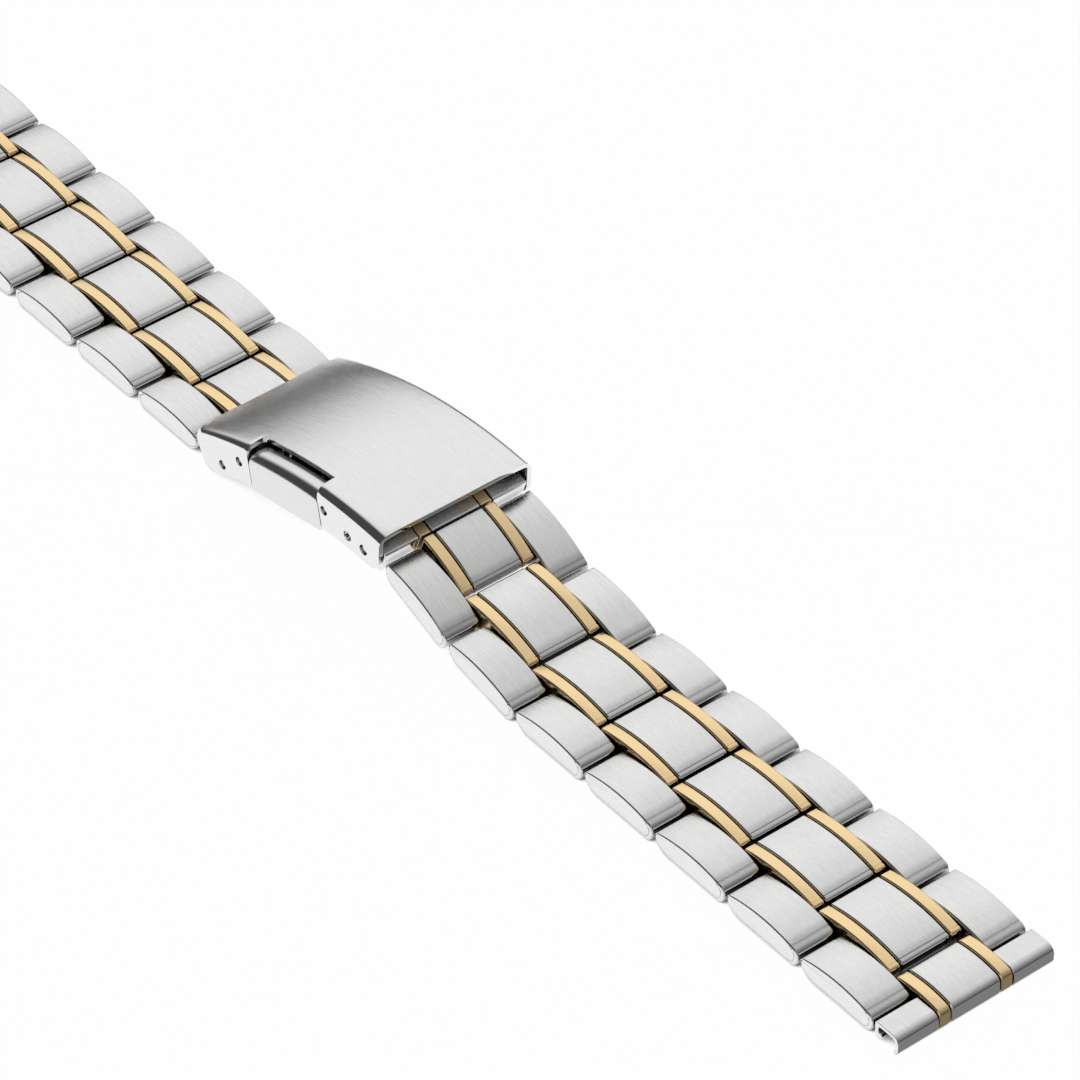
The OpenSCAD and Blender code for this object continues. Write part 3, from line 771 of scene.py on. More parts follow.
# Each finish: how it is made, its colour in the settings and the values that set it apart
FINISHES = {
    "brushed steel": (brushed_metal, "steel", dict(roughness=0.24, anisotropy=0.7, contrast=0.48)),
    "brushed steel cover": (brushed_metal, "steel", dict(roughness=0.2, anisotropy=0.6, contrast=0.3,
                                                         edge_roughness=0.1)),
    "polished steel": (polished_metal, "polished", dict(roughness=0.14)),
    "gold plate": (polished_metal, "gold", dict(roughness=0.16, wear=0.04)),
    "stamped steel": (stamped_metal, "inner", dict(roughness=0.28)),
}


def finish_material(name):
    """The named finish, made when it is first asked for."""
    make, colour, values = FINISHES[name]
    made = bpy.data.materials.get(name)
    return made or make(name, getattr(bpy.context.scene.finish_colours, colour), **values)


# Operators, one for each kind of piece


class BRACELET_OT_outer_links(bpy.types.Operator):
    """Builds the outer links of every row, with their cross pins"""

    bl_idname = "bracelet.outer_links"
    bl_label = "Outer links"

    HEEL_END, ROLL_OFF, TOP_CORNER = 0.3, 0.8, 0.5
    GROOVED = {"near": ("nose", 1.0), "far": ("end", 0.72)}
    PIN_REACH = 0.3
    CORNER_DEPTHS = (0.3, 0.42, 0.56, 0.72)
    OUTER_EDGE_SHARE = 0.8
    SEAM_INSETS, SEAM_RADII = (0.14, 0.48, 0.42, 0.06), (0.3, 0.12)
    SEAM_WIDTH, SEAM_DEPTH = 0.035, 0.12

    def execute(self, context):
        size = sizes("bracelet_sizes")
        steel, polished = finish_material("brushed steel"), finish_material("polished steel")
        y_in = column_edges(size)[-1]
        for half, tag in HALVES:
            grooved, lip = self.GROOVED[half]
            side = LinkSide(NEXT_PIN[0], self.HEEL_END, size["outer_height"], size["outer_edge_height"],
                            size["nose_radius"], size["heel_radius"], self.ROLL_OFF, self.TOP_CORNER,
                            grooved=grooved)
            for k in range(1, ROWS + 1):
                placing = row_placing(half, k)
                y_out = (size["lug_width"] - size["row_taper"] * (ROWS + 1 - k)) / 2
                links = Builder(placing, lip_end(side, half, lip))
                for sign in (-1, 1):
                    self.link(links, side, size, sign, y_in, y_out)
                stand_for(links.finish(f"links_outer_{tag}{k}", [steel]), f"{half}_{k}", "brushed_steel",
                          f"outer_links_{tag}{k}")
                pins = Builder(placing)
                for at in (NEXT_PIN, FIXED_BAR):
                    pins.pin(at, size["pin_radius"], y_in + self.PIN_REACH)
                stand_for(pins.finish(f"link_pins_{tag}{k}", [polished]), f"{half}_{k}", "polished_steel",
                          f"outer_links_{tag}{k}")
        return {"FINISHED"}

    def link(self, builder, side, size, sign, y_in, y_out):
        """One outer link: round corners from above at its inner side, and a seam in its outer face."""
        radius, edge = size["corner_radius"], size["edge_rounding"]
        stations = []
        for t, inset in rounding(edge) + [(depth, 0.0) for depth in (*self.CORNER_DEPTHS, radius)]:
            set_in = inset_at(radius, t)
            stations.append((sign * (y_in + t), cut(side.loop(inset), side.low + set_in, side.high - set_in)))
        stations += [(sign * (y_out - t), side.loop(inset))
                     for t, inset in reversed(rounding(edge * self.OUTER_EDGE_SHARE))]
        last = builder.loft(stations, last_cap=False)[-1]
        y_deep = y_out - self.SEAM_DEPTH
        for y, inset in ((y_out, 0.0), (y_deep, 0.0), (y_deep, self.SEAM_WIDTH), (y_out, self.SEAM_WIDTH)):
            ring = builder.ring(sign * y, self.seam(side, inset))
            builder.wall(last, ring)
            last = ring
        builder.cap(last)

    def seam(self, side, inset):
        """Outline of the plug that closes a link's side, set in further by inset."""
        return side.loop(*(value + inset for value in self.SEAM_INSETS),
                         *(radius - inset for radius in self.SEAM_RADII), groove=0.0)


class BRACELET_OT_middle_columns(bpy.types.Operator):
    """Builds the gold strips and centre links of every row"""

    bl_idname = "bracelet.middle_columns"
    bl_label = "Gold strips and centre links"

    HEEL_END, ROLL_OFF, TOP_CORNER, BLUNT = 6.7, 0.28, 0.35, 0.28
    GROOVED = {"near": ("end", 0.55), "far": ("nose", 0.57)}

    def execute(self, context):
        size = sizes("bracelet_sizes")
        steel, gold = finish_material("brushed steel"), finish_material("gold plate")
        centre, gold_in, gold_out, _ = column_edges(size)
        bore = size["pin_radius"] + PIN_PLAY
        for half, tag in HALVES:
            grooved, lip = self.GROOVED[half]
            for k in range(1, ROWS + 1):
                first = half == "near" and k == 1
                blunt = 0.0 if half == "far" and k == 1 else self.BLUNT
                side = LinkSide(PIN[0], self.HEEL_END, size["middle_height"], size["middle_edge_height"],
                                size["nose_radius"], size["heel_radius"], self.ROLL_OFF, self.TOP_CORNER,
                                blunt, grooved)
                placing = row_placing(half, k)
                bores = [(at, bore) for at in ([FIXED_BAR] if first else [FIXED_BAR, PIN])]
                strips = Builder(placing)
                for sign in (-1, 1):
                    column(strips, side, sign * gold_in, sign * gold_out, size["gold_rounding"], first, bores)
                stand_for(strips.finish(f"strips_gold_{tag}{k}", [gold]), f"{half}_{k}", "gold_plate",
                          f"gold_strips_{tag}{k}")
                link = Builder(placing, lip_end(side, half, lip))
                column(link, side, -centre, centre, size["edge_rounding"], first, bores)
                stand_for(link.finish(f"link_centre_{tag}{k}", [steel]), f"{half}_{k}", "brushed_steel",
                          f"centre_link_{tag}{k}")
        return {"FINISHED"}


class BRACELET_OT_end_pieces(bpy.types.Operator):
    """Builds the end pieces for the watch case: solid middle, gold strips and folded outer sections"""

    bl_idname = "bracelet.end_pieces"
    bl_label = "End pieces"

    LENGTH, CROWN, FRONT_HEIGHT, LIP, ROLL_OFF = 3.35, 2.7, 2.3, 0.9, 0.7
    REAR, REAR_RADIUS, SHEET, CURL = 0.3, 0.25, 0.4, math.radians(-62)
    ROD, ROD_RADIUS, ROD_CHAMFER, ROD_RECESS = (0.75, 0.75), 0.45, 0.08, 0.02
    LUG_BORE, LUG_RADIUS = (2.1, 1.05), 0.8
    BROKEN_EDGE = 0.07

    def execute(self, context):
        size = sizes("bracelet_sizes")
        steel, gold = finish_material("brushed steel"), finish_material("gold plate")
        side = LinkSide(PIN[0], self.LENGTH, self.CROWN, self.FRONT_HEIGHT, size["nose_radius"], self.LIP,
                        self.ROLL_OFF, self.LIP)
        centre, gold_in, gold_out, outer_in = column_edges(size)
        half = size["lug_width"] / 2
        bores = [(PIN, size["pin_radius"] + PIN_PLAY), (self.LUG_BORE, self.LUG_RADIUS)]
        for name, _ in HALVES:
            placing = row_placing(name, ROWS + 1)
            strips = Builder(placing)
            for sign in (-1, 1):
                column(strips, side, sign * gold_in, sign * gold_out, size["gold_rounding"], bores=bores)
            stand_for(strips.finish(f"strips_end_{name}", [gold]), f"{name}_end", "gold_plate",
                      f"end_gold_{name}")
            piece = Builder(placing)
            column(piece, side, -centre, centre, size["edge_rounding"], bores=bores)
            for sign in (-1, 1):
                piece.loft([(sign * y, self.fold()) for y in (outer_in, half)])
            piece.pin(self.ROD, self.ROD_RADIUS, half - self.ROD_RECESS, self.ROD_CHAMFER)
            stand_for(piece.finish(f"piece_end_{name}", [steel], bevel=self.BROKEN_EDGE), f"{name}_end",
                      "brushed_steel", f"end_piece_{name}")
        return {"FINISHED"}

    def fold(self):
        """Side view of the folded sheet: rear wall, top, front lip and the edge that curls in below."""
        lip, sheet, rear_r = self.LIP, self.SHEET, self.REAR_RADIUS
        front = self.LENGTH - lip
        high, low = (front, self.FRONT_HEIGHT - lip), (front, lip)
        rear_c = (self.REAR + rear_r, self.FRONT_HEIGHT - rear_r)
        outer = [(self.REAR, self.ROD[1])] + arc(rear_c, rear_r, math.pi, math.pi / 2, 4)
        outer += arc(high, lip, math.pi / 2, 0, 9) + arc(low, lip, 0, self.CURL, 7)
        inner = arc(low, lip - sheet, self.CURL, 0, 6)
        inner += arc(high, lip - sheet, 0, math.pi / 2, 7)
        inner += [(self.REAR + sheet, self.FRONT_HEIGHT - sheet), (self.REAR + sheet, self.ROD[1])]
        return outer + inner


class BRACELET_OT_clasp_tube(bpy.types.Operator):
    """Builds the five-section tube that joins the near half to the clasp's spring bar"""

    bl_idname = "bracelet.clasp_tube"
    bl_label = "Clasp tube"

    RADIUS, FACE, TOP, CORNER, LEAST_CORNER = 1.5, -0.15, 2.7, 0.22, 0.02
    STEEL_EDGE, GOLD_EDGE, BROKEN_EDGE = 0.1, 0.14, 0.05
    SLEEVE, SLEEVE_REACH, COVER_PLAY = 0.3, 0.3, 0.12
    TONGUE = ((-1.15, 4.25), 1.9, (0.55, 2.05))

    def execute(self, context):
        size, clasp = sizes("bracelet_sizes"), sizes("clasp_sizes")
        steel, gold = finish_material("brushed steel"), finish_material("gold plate")
        centre, gold_in, gold_out, outer_in = column_edges(size)
        outer_out = clasp["cover_width"] / 2 - clasp["cover_sheet"] - self.COVER_PLAY
        bore = clasp["bar_radius"] + PIN_PLAY
        placing = row_placing("near", 1)
        strips = Builder(placing)
        for sign in (-1, 1):
            self.section(strips, sign * gold_in, sign * gold_out, self.GOLD_EDGE, bore + self.SLEEVE)
        stand_for(strips.finish("strips_tube", [gold]), "near_1", "gold_plate", "clasp_end_gold")
        tube = Builder(placing)
        self.section(tube, -centre, centre, self.STEEL_EDGE, bore)
        for sign in (-1, 1):
            self.section(tube, sign * outer_in, sign * outer_out, self.STEEL_EDGE, bore)
            ends = (centre - self.SLEEVE_REACH, outer_in + self.SLEEVE_REACH)
            self.sleeve(tube, [sign * y for y in ends], bore)
        (s0, s1), half, (z0, z1) = self.TONGUE
        tube.plate([(s0, -half), (s1, -half), (s1, half), (s0, half)], z0, z1)
        stand_for(tube.finish("tube_clasp", [steel], sharp=40, bevel=self.BROKEN_EDGE), "near_1",
                  "brushed_steel", "clasp_end_piece")
        return {"FINISHED"}

    def outline(self, inset):
        """Side view of a section: round about the spring bar, with a flat face towards the first row."""
        radius = self.RADIUS - inset
        corner = max(self.CORNER - inset, self.LEAST_CORNER)
        low = math.asin((inset - TUBE_AXIS[1]) / radius)
        points = arc(TUBE_AXIS, radius, math.pi / 2, low + 2 * math.pi, 30)
        points += [(self.FACE - inset, inset)]
        points += arc((self.FACE - inset - corner, self.TOP - inset - corner), corner, 0, math.pi / 2, 5)
        return points

    def section(self, builder, y0, y1, edge, bore):
        bar(builder, self.outline, y0, y1, edge, bores=[(TUBE_AXIS, bore)])

    def sleeve(self, builder, ends, bore):
        """The pipe that joins two steel sections inside a gold one."""
        circles = [circle(TUBE_AXIS, radius) for radius in (bore + self.SLEEVE, bore)]
        outer, inner = [[builder.ring(y, outline) for y in ends] for outline in circles]
        for a, b in (outer, inner, *zip(outer, inner)):
            builder.wall(a, b)


class BRACELET_OT_clasp_cover(bpy.types.Operator):
    """Builds the arched cover of folded sheet, with its openings for the buttons and its pin holes"""

    bl_idname = "bracelet.clasp_cover"
    bl_label = "Clasp cover"

    INNER_ROUNDING, BROKEN_EDGE, UPRIGHT_PAST_NOTCH = 0.3, 0.07, 0.05
    FLAT_HALF, CROWN_RADIUS = 6.0, 22.0
    FAR_STEPS, NOTCH_STEPS, NEAR_STEPS = 13, 16, 14
    EDGE_STEPS, SHELF_STEPS, TOP_STEPS, SKIRT_STEPS = 8, 3, 18, 10

    def execute(self, context):
        size = self.size = sizes("clasp_sizes")
        arch = self.arch = CoverArch(size)
        builder = self.builder = Builder(arch.placing())
        self.upright = size["notch_far"] + self.UPRIGHT_PAST_NOTCH
        self.half, self.sheet = size["cover_width"] / 2, size["cover_sheet"]
        far, near = -size["notch_far"], size["notch_near"]
        self.us = between(-arch.half, far, self.FAR_STEPS) + between(far, near, self.NOTCH_STEPS)[1:]
        self.us += between(near, arch.half, self.NEAR_STEPS)[1:]
        self.notch = (self.FAR_STEPS, self.FAR_STEPS + self.NOTCH_STEPS)
        self.notch_y = self.EDGE_STEPS + self.SHELF_STEPS
        outer, inner = [self.grid(profile) for profile in self.profiles()]
        self.top(outer, inner)
        self.skirt(-1, self.us[:self.notch[0] + 1])
        self.skirt(-1, self.us[self.notch[1]:])
        self.skirt(1, self.us, window=True)
        corners = [builder.bm.edges.get((outer[i][self.notch_y], inner[i][self.notch_y]))
                   for i in self.notch]
        bmesh.ops.bevel(builder.bm, geom=corners, offset=size["notch_rounding"] * MM, segments=5, profile=0.5,
                        affect="EDGES", offset_type="OFFSET")
        steel = finish_material("brushed steel cover")
        cover = builder.finish("cover_clasp", [steel], bevel=self.BROKEN_EDGE)
        stand_for(cover, "clasp", "brushed_steel", "clasp_cover")
        return {"FINISHED"}

    def profiles(self):
        """Matching (y, depth) points across the outer and the inner face of the top."""
        shelf = self.half - self.size["notch_depth"]
        out_r, in_r = self.size["cover_edge_radius"], self.INNER_ROUNDING
        lines = []
        for flat, centre_depth, radius in ((self.half - out_r, out_r, out_r),
                                           (self.half - self.sheet - in_r, self.sheet + in_r, in_r)):
            high = [(y, -d) for y, d in arc((flat, -centre_depth), radius, math.pi / 2, 0, self.EDGE_STEPS)]
            low = [(-y, d) for y, d in reversed(high)]
            across = between(-flat, -shelf, self.SHELF_STEPS)[1:]
            across += between(-shelf, flat, self.TOP_STEPS)[1:-1]
            line = low + [(y, centre_depth - radius) for y in across] + high
            lines.append([(y, d + self.crown(y)) for y, d in line])
        return lines

    def crown(self, y):
        """How far the sheet drops towards its long edges."""
        return max(abs(y) - self.FLAT_HALF, 0.0) ** 2 / (2 * self.CROWN_RADIUS)

    def grid(self, profile):
        builder, arch = self.builder, self.arch
        rows = []
        for u in self.us:
            points = [(arch.leaning(u, depth, self.upright), y) for y, depth in profile]
            rows.append([builder.bm.verts.new(builder.placing.point(s, y, w)) for (s, w), y in points])
        return rows

    def top(self, outer, inner):
        faces = self.builder.bm.faces
        last_u, last_y = len(outer) - 1, len(outer[0]) - 1

        def open_at(i, j):
            return self.notch[0] <= i < self.notch[1] and j < self.notch_y

        for i in range(last_u):
            for j in range(last_y):
                if open_at(i, j):
                    continue
                for rows in (outer, inner):
                    faces.new((rows[i][j], rows[i + 1][j], rows[i + 1][j + 1], rows[i][j + 1]))
                if i == 0 or open_at(i - 1, j):
                    faces.new((outer[i][j], outer[i][j + 1], inner[i][j + 1], inner[i][j]))
                if i == last_u - 1 or open_at(i + 1, j):
                    faces.new((outer[i + 1][j], outer[i + 1][j + 1], inner[i + 1][j + 1], inner[i + 1][j]))
                if open_at(i, j - 1):
                    faces.new((outer[i][j], outer[i + 1][j], inner[i + 1][j], inner[i][j]))

    def foot(self, u_from, u_to):
        return [self.arch.leaning(u, self.size["skirt_height"], self.upright)
                for u in between(u_from, u_to, self.SKIRT_STEPS)]

    def round_end(self, way):
        """A skirt's end from its top to its foot, round at the lower corner."""
        arch, corner = self.arch, self.size["skirt_corner_radius"]
        reach = arch.radius - self.size["skirt_height"] + corner
        angle = arch.angle - math.asin(corner / reach)
        centre = (reach * math.sin(angle), arch.centre[1] + reach * math.cos(angle))
        points = arc(centre, corner, -arch.angle, -math.pi / 2 - angle, self.SKIRT_STEPS)
        return [(way * u, w) for u, w in points]

    def skirt(self, sign, us, window=False):
        """A side skirt under the points us of the top's edge, with its holes and the far button's window."""
        size, arch, builder = self.size, self.arch, self.builder
        low, high = self.round_end(-1), self.round_end(1)
        if window:
            far, near, top = -size["notch_far"], size["notch_near"], size["window_top"]
            rest = high + self.foot(high[-1][0], near)[1:] + [(near, top), (far, top)]
            rest += self.foot(far, low[-1][0])[:-1] + low[::-1]
        elif us[0] < 0:
            rest = self.foot(us[-1], low[-1][0])[:-1] + low[::-1]
        else:
            rest = high + self.foot(high[-1][0], us[0])[1:]
        holes = [(arch.at(*place), size["pin_radius"] + play)
                 for place, play in ((COVER_HINGE, 0), (SPRING_BAR, PIN_PLAY), (SPARE_HOLE, PIN_PLAY),
                                     *((place, 0) for place in CARRIER_PINS))
                 if us[0] < place[0] < us[-1]]
        rings, bores = [], []
        for y, depth in ((self.half, size["cover_edge_radius"]),
                         (self.half - self.sheet, self.sheet + self.INNER_ROUNDING)):
            edge = [arch.leaning(u, depth + self.crown(y), self.upright) for u in us]
            rings.append(builder.ring(sign * y, edge + rest))
            bores.append([builder.ring(sign * y, circle(*hole)) for hole in holes])
        for ring, circles in zip(rings, bores):
            builder.cap(ring, circles)
        for pair in zip(*bores):
            builder.wall(*pair)
        outer, inner = rings
        for i in range(len(us) - 1, len(outer)):
            j = (i + 1) % len(outer)
            builder.bm.faces.new((outer[i], outer[j], inner[j], inner[i]))


class BRACELET_OT_clasp_pins(bpy.types.Operator):
    """Builds the cover's three cross pins and the spring bar of the near half"""

    bl_idname = "bracelet.clasp_pins"
    bl_label = "Clasp pins and spring bar"

    RECESS, PIN_GAP, CHAMFER = 0.2, 0.09, 0.12
    TIP_CHAMFER, SHOULDER_GAP, STEP = 0.1, 0.1, 0.08
    GROOVE_FROM, GROOVE_TO = 0.7, 0.95

    def execute(self, context):
        size = sizes("clasp_sizes")
        arch = CoverArch(size)
        polished = finish_material("polished steel")
        half = size["cover_width"] / 2 - self.RECESS
        pins = Builder(arch.placing())
        for place in (COVER_HINGE, *CARRIER_PINS):
            pins.pin(arch.at(*place), size["pin_radius"] - self.PIN_GAP, half, self.CHAMFER)
        stand_for(pins.finish("pins_cover", [polished]), "clasp", "polished_steel", "cover_pins")
        spring_bar = Builder(arch.placing())
        tip, body = size["pin_radius"] - PIN_PLAY, size["bar_radius"]
        shoulder = size["cover_sheet"] + self.SHOULDER_GAP - half
        groove = (shoulder + self.GROOVE_FROM, shoulder + self.GROOVE_TO)
        spring_bar.turned(arch.at(*SPRING_BAR), [
            (-half, tip - self.TIP_CHAMFER), (self.TIP_CHAMFER - half, tip), (shoulder, tip),
            (shoulder, body - self.STEP), (shoulder + self.STEP, body), (groove[0], body),
            (groove[0], body - self.STEP), (groove[1], body - self.STEP), (groove[1], body)])
        stand_for(spring_bar.finish("bar_spring", [polished]), "clasp", "polished_steel", "spring_bar")
        return {"FINISHED"}


class BRACELET_OT_buttons(bpy.types.Operator):
    """Builds the two push buttons with their arms, and the coil springs behind them"""

    bl_idname = "bracelet.buttons"
    bl_label = "Buttons and springs"

    INNER, OVER, ARM_HEIGHTS = 6.75, 0.1, (-0.5, 0.65)
    ARM = ((-1.3, 6.85), (-2.6, 6.85), (-2.6, -3.35), (-3.3, -3.35), (-3.3, -4.05), (-1.3, -4.05),
           (-1.3, -2.9), (1.1, -2.9), (1.1, -1.4), (-1.3, -1.4))
    SPRING_AT, SPRING_FROM, TRAVEL = 4.1, 3.3, 0.8
    EDGE, BROKEN_EDGE, TOP_CORNER, NEAR_CORNER, FAR_CORNER = 0.16, 0.05, 0.2, 0.3, 0.6
    WIRE, WIRE_SIDES, TURN_STEPS, CLOSED_SHARE = 0.13, 8, 20, 0.06

    def execute(self, context):
        size = self.size = sizes("clasp_sizes")
        self.arch = CoverArch(size)
        polished = finish_material("polished steel")
        gap = size["button_gap"]
        tops = {"near": size["button_top"], "far": size["window_top"] - gap}
        for name, sign in (("near", -1), ("far", 1)):
            button = Builder(self.arch.placing())
            self.block(button, sign, -size["notch_far"] + gap, size["notch_near"] - gap, tops[name])
            button.plate([(sign * u, sign * y) for u, y in self.ARM], *self.ARM_HEIGHTS)
            stand_for(button.finish(f"push_button_{name}", [polished], sharp=50, bevel=self.BROKEN_EDGE),
                      f"button_{name}", "polished_steel", f"button_{name}")
            spring = Builder(self.arch.placing())
            for u in (-self.SPRING_AT, self.SPRING_AT):
                self.coil(spring, u, sign)
            coils = stand_for(spring.finish(f"coils_{name}", [polished]), "clasp", "polished_steel",
                              f"button_springs_{name}")
            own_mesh(coils)
        return {"FINISHED"}

    def block(self, builder, sign, u0, u1, top):
        """The part of a button that is pressed, with a large radius along its outer top edge."""
        y_out = self.size["cover_width"] / 2 + self.OVER
        crest, edge = self.size["button_rounding"], self.EDGE
        depths = sorted({round(t, 4) for radius in (crest, edge) for t, _ in rounding(radius, 8)})
        stations = [(sign * (y_out - t), self.outline(u0, u1, top, inset_at(crest, t), inset_at(edge, t)))
                    for t in depths]
        stations += [(sign * (self.INNER + t), self.outline(u0, u1, top, inset, inset))
                     for t, inset in reversed(rounding(edge))]
        builder.loft(stations)

    def outline(self, u0, u1, top, top_inset, inset):
        """A button seen from the side: arched top and round lower corners."""
        radius, corner = self.arch.radius, self.TOP_CORNER
        low, far, near = inset - self.size["button_drop"], u0 + inset, u1 - inset

        def height(u):
            return top - top_inset - radius + math.sqrt(radius ** 2 - u * u)

        def foot(u, corner_r, way, start, steps):
            return arc((u - way * corner_r, low + corner_r), corner_r, start, start - math.pi / 2, steps)

        ends = [(u, height(u) - corner) for u in (far + corner, near - corner)]
        points = [(u, height(u)) for u in between(ends[0][0], ends[1][0], 16)]
        points += arc(ends[1], corner, math.pi / 2, 0, 4)[1:]
        points += foot(near, self.NEAR_CORNER, 1, 0, 5) + foot(far, self.FAR_CORNER, -1, -math.pi / 2, 6)
        points += arc(ends[0], corner, math.pi, math.pi / 2, 4)[:-1]
        return points

    def coil(self, builder, u, sign):
        """A helical wire between the carrier's web and the button, with flat closed ends."""
        wire, closed = self.WIRE, self.CLOSED_SHARE
        radius = self.size["coil_radius"] - wire
        turns = bpy.context.scene.clasp_sizes.coil_turns
        start, end = self.SPRING_FROM + wire, self.INNER - wire
        rings = []
        for way in between(0, 1, self.TURN_STEPS * turns):
            a = 2 * math.pi * turns * way
            y = start + (end - start) * min(max((way - closed) / (1 - 2 * closed), 0.0), 1.0)
            section = circle((radius, y), wire, self.WIRE_SIDES)
            points = [(u + r * math.cos(a), sign * y, r * math.sin(a)) for r, y in section]
            rings.append([builder.bm.verts.new(builder.placing.point(*point)) for point in points])
        for a, b in zip(rings, rings[1:]):
            builder.wall(a, b)
        builder.cap(rings[0])
        builder.cap(rings[-1])


class BRACELET_OT_kept_nodes(bpy.types.Operator):
    """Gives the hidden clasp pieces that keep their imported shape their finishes"""

    bl_idname = "bracelet.kept_nodes"
    bl_label = "Kept pieces"

    KEPT = {"stamped steel": ("button_carrier", "inner_blade", "outer_blade"),
            "polished steel": ("blade_pin", "far_pin")}

    def execute(self, context):
        for finish, names in self.KEPT.items():
            for name in names:
                node = frame["nodes"][name]
                if not node.material_slots:
                    raise RuntimeError(f"{name} has no material slot")
                for slot in node.material_slots:
                    slot.material = finish_material(finish)
        return {"FINISHED"}


class BRACELET_OT_studio(bpy.types.Operator):
    """Sets up the floor, the soft lights, the surroundings and the camera"""

    bl_idname = "bracelet.studio"
    bl_label = "Studio"

    FLOOR_HALF, FLOOR_LEVEL, FLOOR_ROUGHNESS, FLOOR_SHINE = 4.0, -0.00002, 0.9, 0.1
    # The floor's shadow: how near things count, with how many samples, and from where to where it clears
    SHADOW_REACH, SHADOW_CLEARS, SHADOW_LEFT, FLOOR_GLOW = (0.009, 16), (0.05, 0.26), 0.03, 0.985
    # White sheet of the floor in mirrored light: it fades past these places, and is dimmer there, as a
    # painted shadow of the bracelet
    AWAY, AWAY_FROM, AWAY_TO, AWAY_LEFT = (-0.86, 0.5, 0.0), 0.052, 0.075, 0.04
    BESIDE_TO, FRONT_FROM, FRONT_TO, FRONT_LEFT = 0.012, 0.0866, 0.0875, 0.22
    # Levels of the surroundings: from front to back, from the horizon up, and where they fade on one side
    PANEL = ((0.0, 0.2), (0.1, 0.2), (0.18, 0.3), (0.3, 0.45), (0.36, 0.55), (0.48, 0.66), (0.66, 0.75),
             (0.8, 0.82), (1.0, 0.82))
    ABOVE = ((0.0, 0.04), (0.06, 0.1), (0.09, 0.17), (0.12, 0.3), (0.15, 0.5), (0.21, 0.75), (0.3, 0.9),
             (0.42, 1.0))
    SIDE_FADE = (-0.28, 0.12)
    # A dimmer panel in front, which fades along x and y and towards the horizon
    FRONT_X, FRONT_Y, FRONT_Z = (0.15, 0.35), (-0.42, -0.22), (0.0, 0.06)
    FRONT_LEVEL, LEAST_LEVEL = 0.65, 0.06
    LAMP_AT, LAMP_SIZE, LAMP_WATTS = (-0.62, 0.5, 0.6), (1.0, 0.7), 0.25
    CAMERA_AT, CAMERA_TURN = (0.3676, -0.2739, 0.39645), (51.18, 41.26)
    CAMERA_LENS, CAMERA_SENSOR, CAMERA_END = 214.2, 36.0, 20.0

    def execute(self, context):
        self.floor(context)
        self.lamp(context)
        self.surroundings(context)
        self.camera(context)
        context.scene.view_settings.view_transform = "Standard"
        return {"FINISHED"}

    def floor(self, context):
        """A pale floor that keeps the shadow, and looks white to the camera, to mirrors and through glass,
        except for a painted shadow that mirrors and glass see past the bracelet.
        """
        half, level = self.FLOOR_HALF, self.FLOOR_LEVEL
        mesh = bpy.data.meshes.new("floor")
        corners = [(x, y, level) for x, y in ((-half, -half), (half, -half), (half, half), (-half, half))]
        mesh.from_pydata(corners, [], [(0, 1, 2, 3)])
        floor = bpy.data.objects.new("floor", mesh)
        context.scene.collection.objects.link(floor)
        material = bpy.data.materials.new("studio floor")
        material.use_nodes = True
        tree = NodeTree(material.node_tree)
        shader = tree.nodes["Principled BSDF"]
        shader.inputs["Base Color"].default_value = (*context.scene.finish_colours.floor, 1)
        shader.inputs["Roughness"].default_value = self.FLOOR_ROUGHNESS
        shader.inputs["Specular IOR Level"].default_value = self.FLOOR_SHINE
        open_floor = tree.ramp(tree.openness(*self.SHADOW_REACH), *self.SHADOW_CLEARS)
        place = tree.node("ShaderNodeNewGeometry").outputs["Position"]
        # Painted shadow: to mirrors and glass the floor glows dimmer past these places, where the bracelet's
        # shadow falls
        away = tree.vector("DOT_PRODUCT", place, self.AWAY)
        x, y, _ = tree.parts(place)
        sheet = tree.larger(tree.ramp(away, self.AWAY_FROM, self.AWAY_TO, 1.0, self.AWAY_LEFT),
                            tree.ramp(y, 0.0, self.BESIDE_TO, 1.0, 0.0))
        sheet = tree.times(sheet, tree.ramp(x, self.FRONT_FROM, self.FRONT_TO, 1.0, self.FRONT_LEFT))
        mirrored = tree.times(open_floor, sheet)
        direct = tree.plus(self.SHADOW_LEFT, tree.times(open_floor, 1 - self.SHADOW_LEFT))
        glow = tree.node("ShaderNodeEmission")
        tree.put(glow.inputs["Strength"], tree.mix(tree.ray("Camera"), mirrored, direct))
        seen = tree.larger(tree.larger(tree.ray("Camera"), tree.ray("Glossy")), tree.ray("Transmission"))
        surface = tree.fill(tree.node("ShaderNodeMixShader"), tree.times(seen, self.FLOOR_GLOW),
                            shader.outputs[0], glow.outputs[0])
        tree.put(tree.nodes["Material Output"].inputs["Surface"], surface)
        mesh.materials.append(material)

    def lamp(self, context):
        """A soft light behind the clasp."""
        light = bpy.data.lights.new("panel_behind", "AREA")
        light.shape = "RECTANGLE"
        light.size, light.size_y = self.LAMP_SIZE
        light.energy = self.LAMP_WATTS
        lamp = bpy.data.objects.new("panel_behind", light)
        lamp.location = self.LAMP_AT
        lamp.rotation_euler = (-Vector(self.LAMP_AT)).to_track_quat("-Z", "Y").to_euler()
        context.scene.collection.objects.link(lamp)

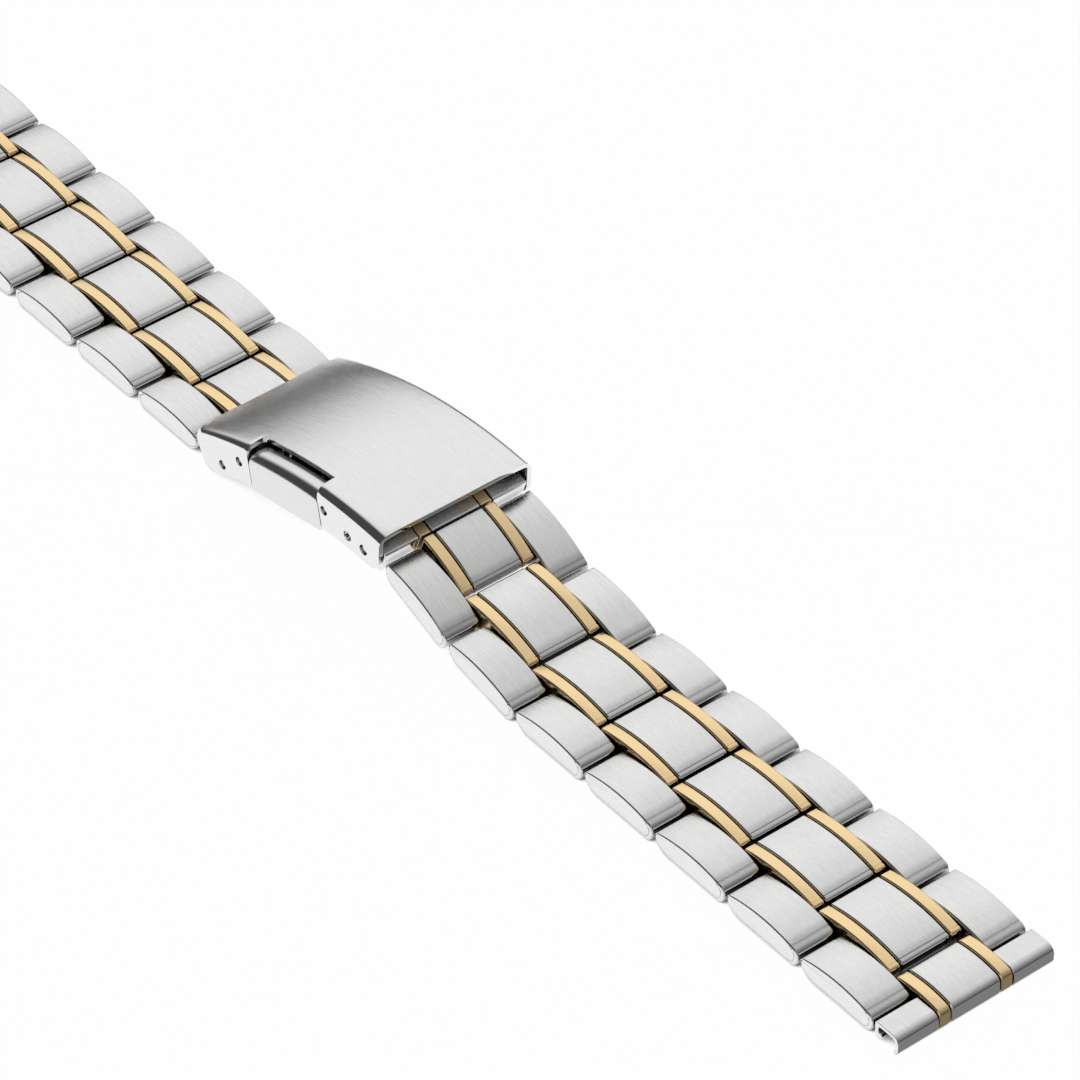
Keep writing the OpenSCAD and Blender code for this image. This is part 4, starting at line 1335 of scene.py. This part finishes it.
    def surroundings(self, context):
        """A pale room for the metal to mirror, brighter behind and above, and white to the camera."""
        world = bpy.data.worlds.new("studio")
        context.scene.world = world
        world.use_nodes = True
        tree = NodeTree(world.node_tree)
        x, y, z = tree.parts(tree.node("ShaderNodeTexCoord").outputs["Generated"])
        panel = self.levels(tree, tree.math("MULTIPLY_ADD", x, -0.5, 0.5), self.PANEL)
        above = self.levels(tree, z, self.ABOVE)
        level = tree.times(tree.times(panel, tree.ramp(y, *self.SIDE_FADE)), above)
        front = tree.times(tree.ramp(x, *self.FRONT_X), tree.ramp(y, *self.FRONT_Y, self.FRONT_LEVEL, 0.0))
        front = tree.times(front, tree.ramp(z, *self.FRONT_Z))
        level = tree.larger(level, tree.larger(front, self.LEAST_LEVEL))
        back = tree.nodes["Background"]
        back.inputs["Color"].default_value = (1, 1, 1, 1)
        tree.put(back.inputs["Strength"], tree.mix(tree.ray("Camera"), level, 1.0))

    @staticmethod
    def levels(tree, value, stops):
        """A brightness that follows (position, level) stops."""
        made = tree.node("ShaderNodeValToRGB")
        tree.put(made.inputs[0], value)
        elements = made.color_ramp.elements
        while len(elements) < len(stops):
            elements.new(0.5)
        for element, (position, level) in zip(elements, stops):
            element.position = position
            element.color = (level, level, level, 1)
        return made.outputs[0]

    def camera(self, context):
        """The camera at the photograph's viewing angle."""
        data = bpy.data.cameras.new("camera")
        data.sensor_width = self.CAMERA_SENSOR
        data.lens = self.CAMERA_LENS
        data.clip_end = self.CAMERA_END
        camera = bpy.data.objects.new("camera", data)
        azimuth, elevation = [math.radians(angle) for angle in self.CAMERA_TURN]
        back = Vector((math.sin(azimuth) * math.cos(elevation), -math.cos(azimuth) * math.cos(elevation),
                       math.sin(elevation)))
        right = Vector((math.cos(azimuth), math.sin(azimuth), 0))
        turn = Matrix((right, back.cross(right), back)).transposed().to_4x4()
        camera.matrix_world = Matrix.Translation(Vector(self.CAMERA_AT)) @ turn
        context.scene.collection.objects.link(camera)
        context.scene.camera = camera


STEPS = (BRACELET_OT_outer_links, BRACELET_OT_middle_columns, BRACELET_OT_end_pieces, BRACELET_OT_clasp_tube,
         BRACELET_OT_clasp_cover, BRACELET_OT_clasp_pins, BRACELET_OT_buttons, BRACELET_OT_kept_nodes,
         BRACELET_OT_studio)


class BRACELET_PT_pieces(bpy.types.Panel):
    """Lists the bracelet's settings and its pieces"""

    bl_idname = "BRACELET_PT_pieces"
    bl_label = "Bracelet"
    bl_space_type = "VIEW_3D"
    bl_region_type = "UI"
    bl_category = "Bracelet"

    def draw(self, context):
        for group, kind in SETTINGS.items():
            box = self.layout.box()
            for name in kind.__annotations__:
                box.prop(getattr(context.scene, group), name)
        for step in STEPS:
            self.layout.operator(step.bl_idname)


def register():
    for kind in (*SETTINGS.values(), *STEPS, BRACELET_PT_pieces):
        bpy.utils.register_class(kind)
    for group, kind in SETTINGS.items():
        setattr(bpy.types.Scene, group, bpy.props.PointerProperty(type=kind))


def unregister():
    for group in SETTINGS:
        delattr(bpy.types.Scene, group)
    for kind in reversed((*SETTINGS.values(), *STEPS, BRACELET_PT_pieces)):
        bpy.utils.unregister_class(kind)


def main():
    register()
    for step in STEPS:
        area, name = step.bl_idname.split(".")
        getattr(getattr(bpy.ops, area), name)()


if __name__ == "__main__":
    main()
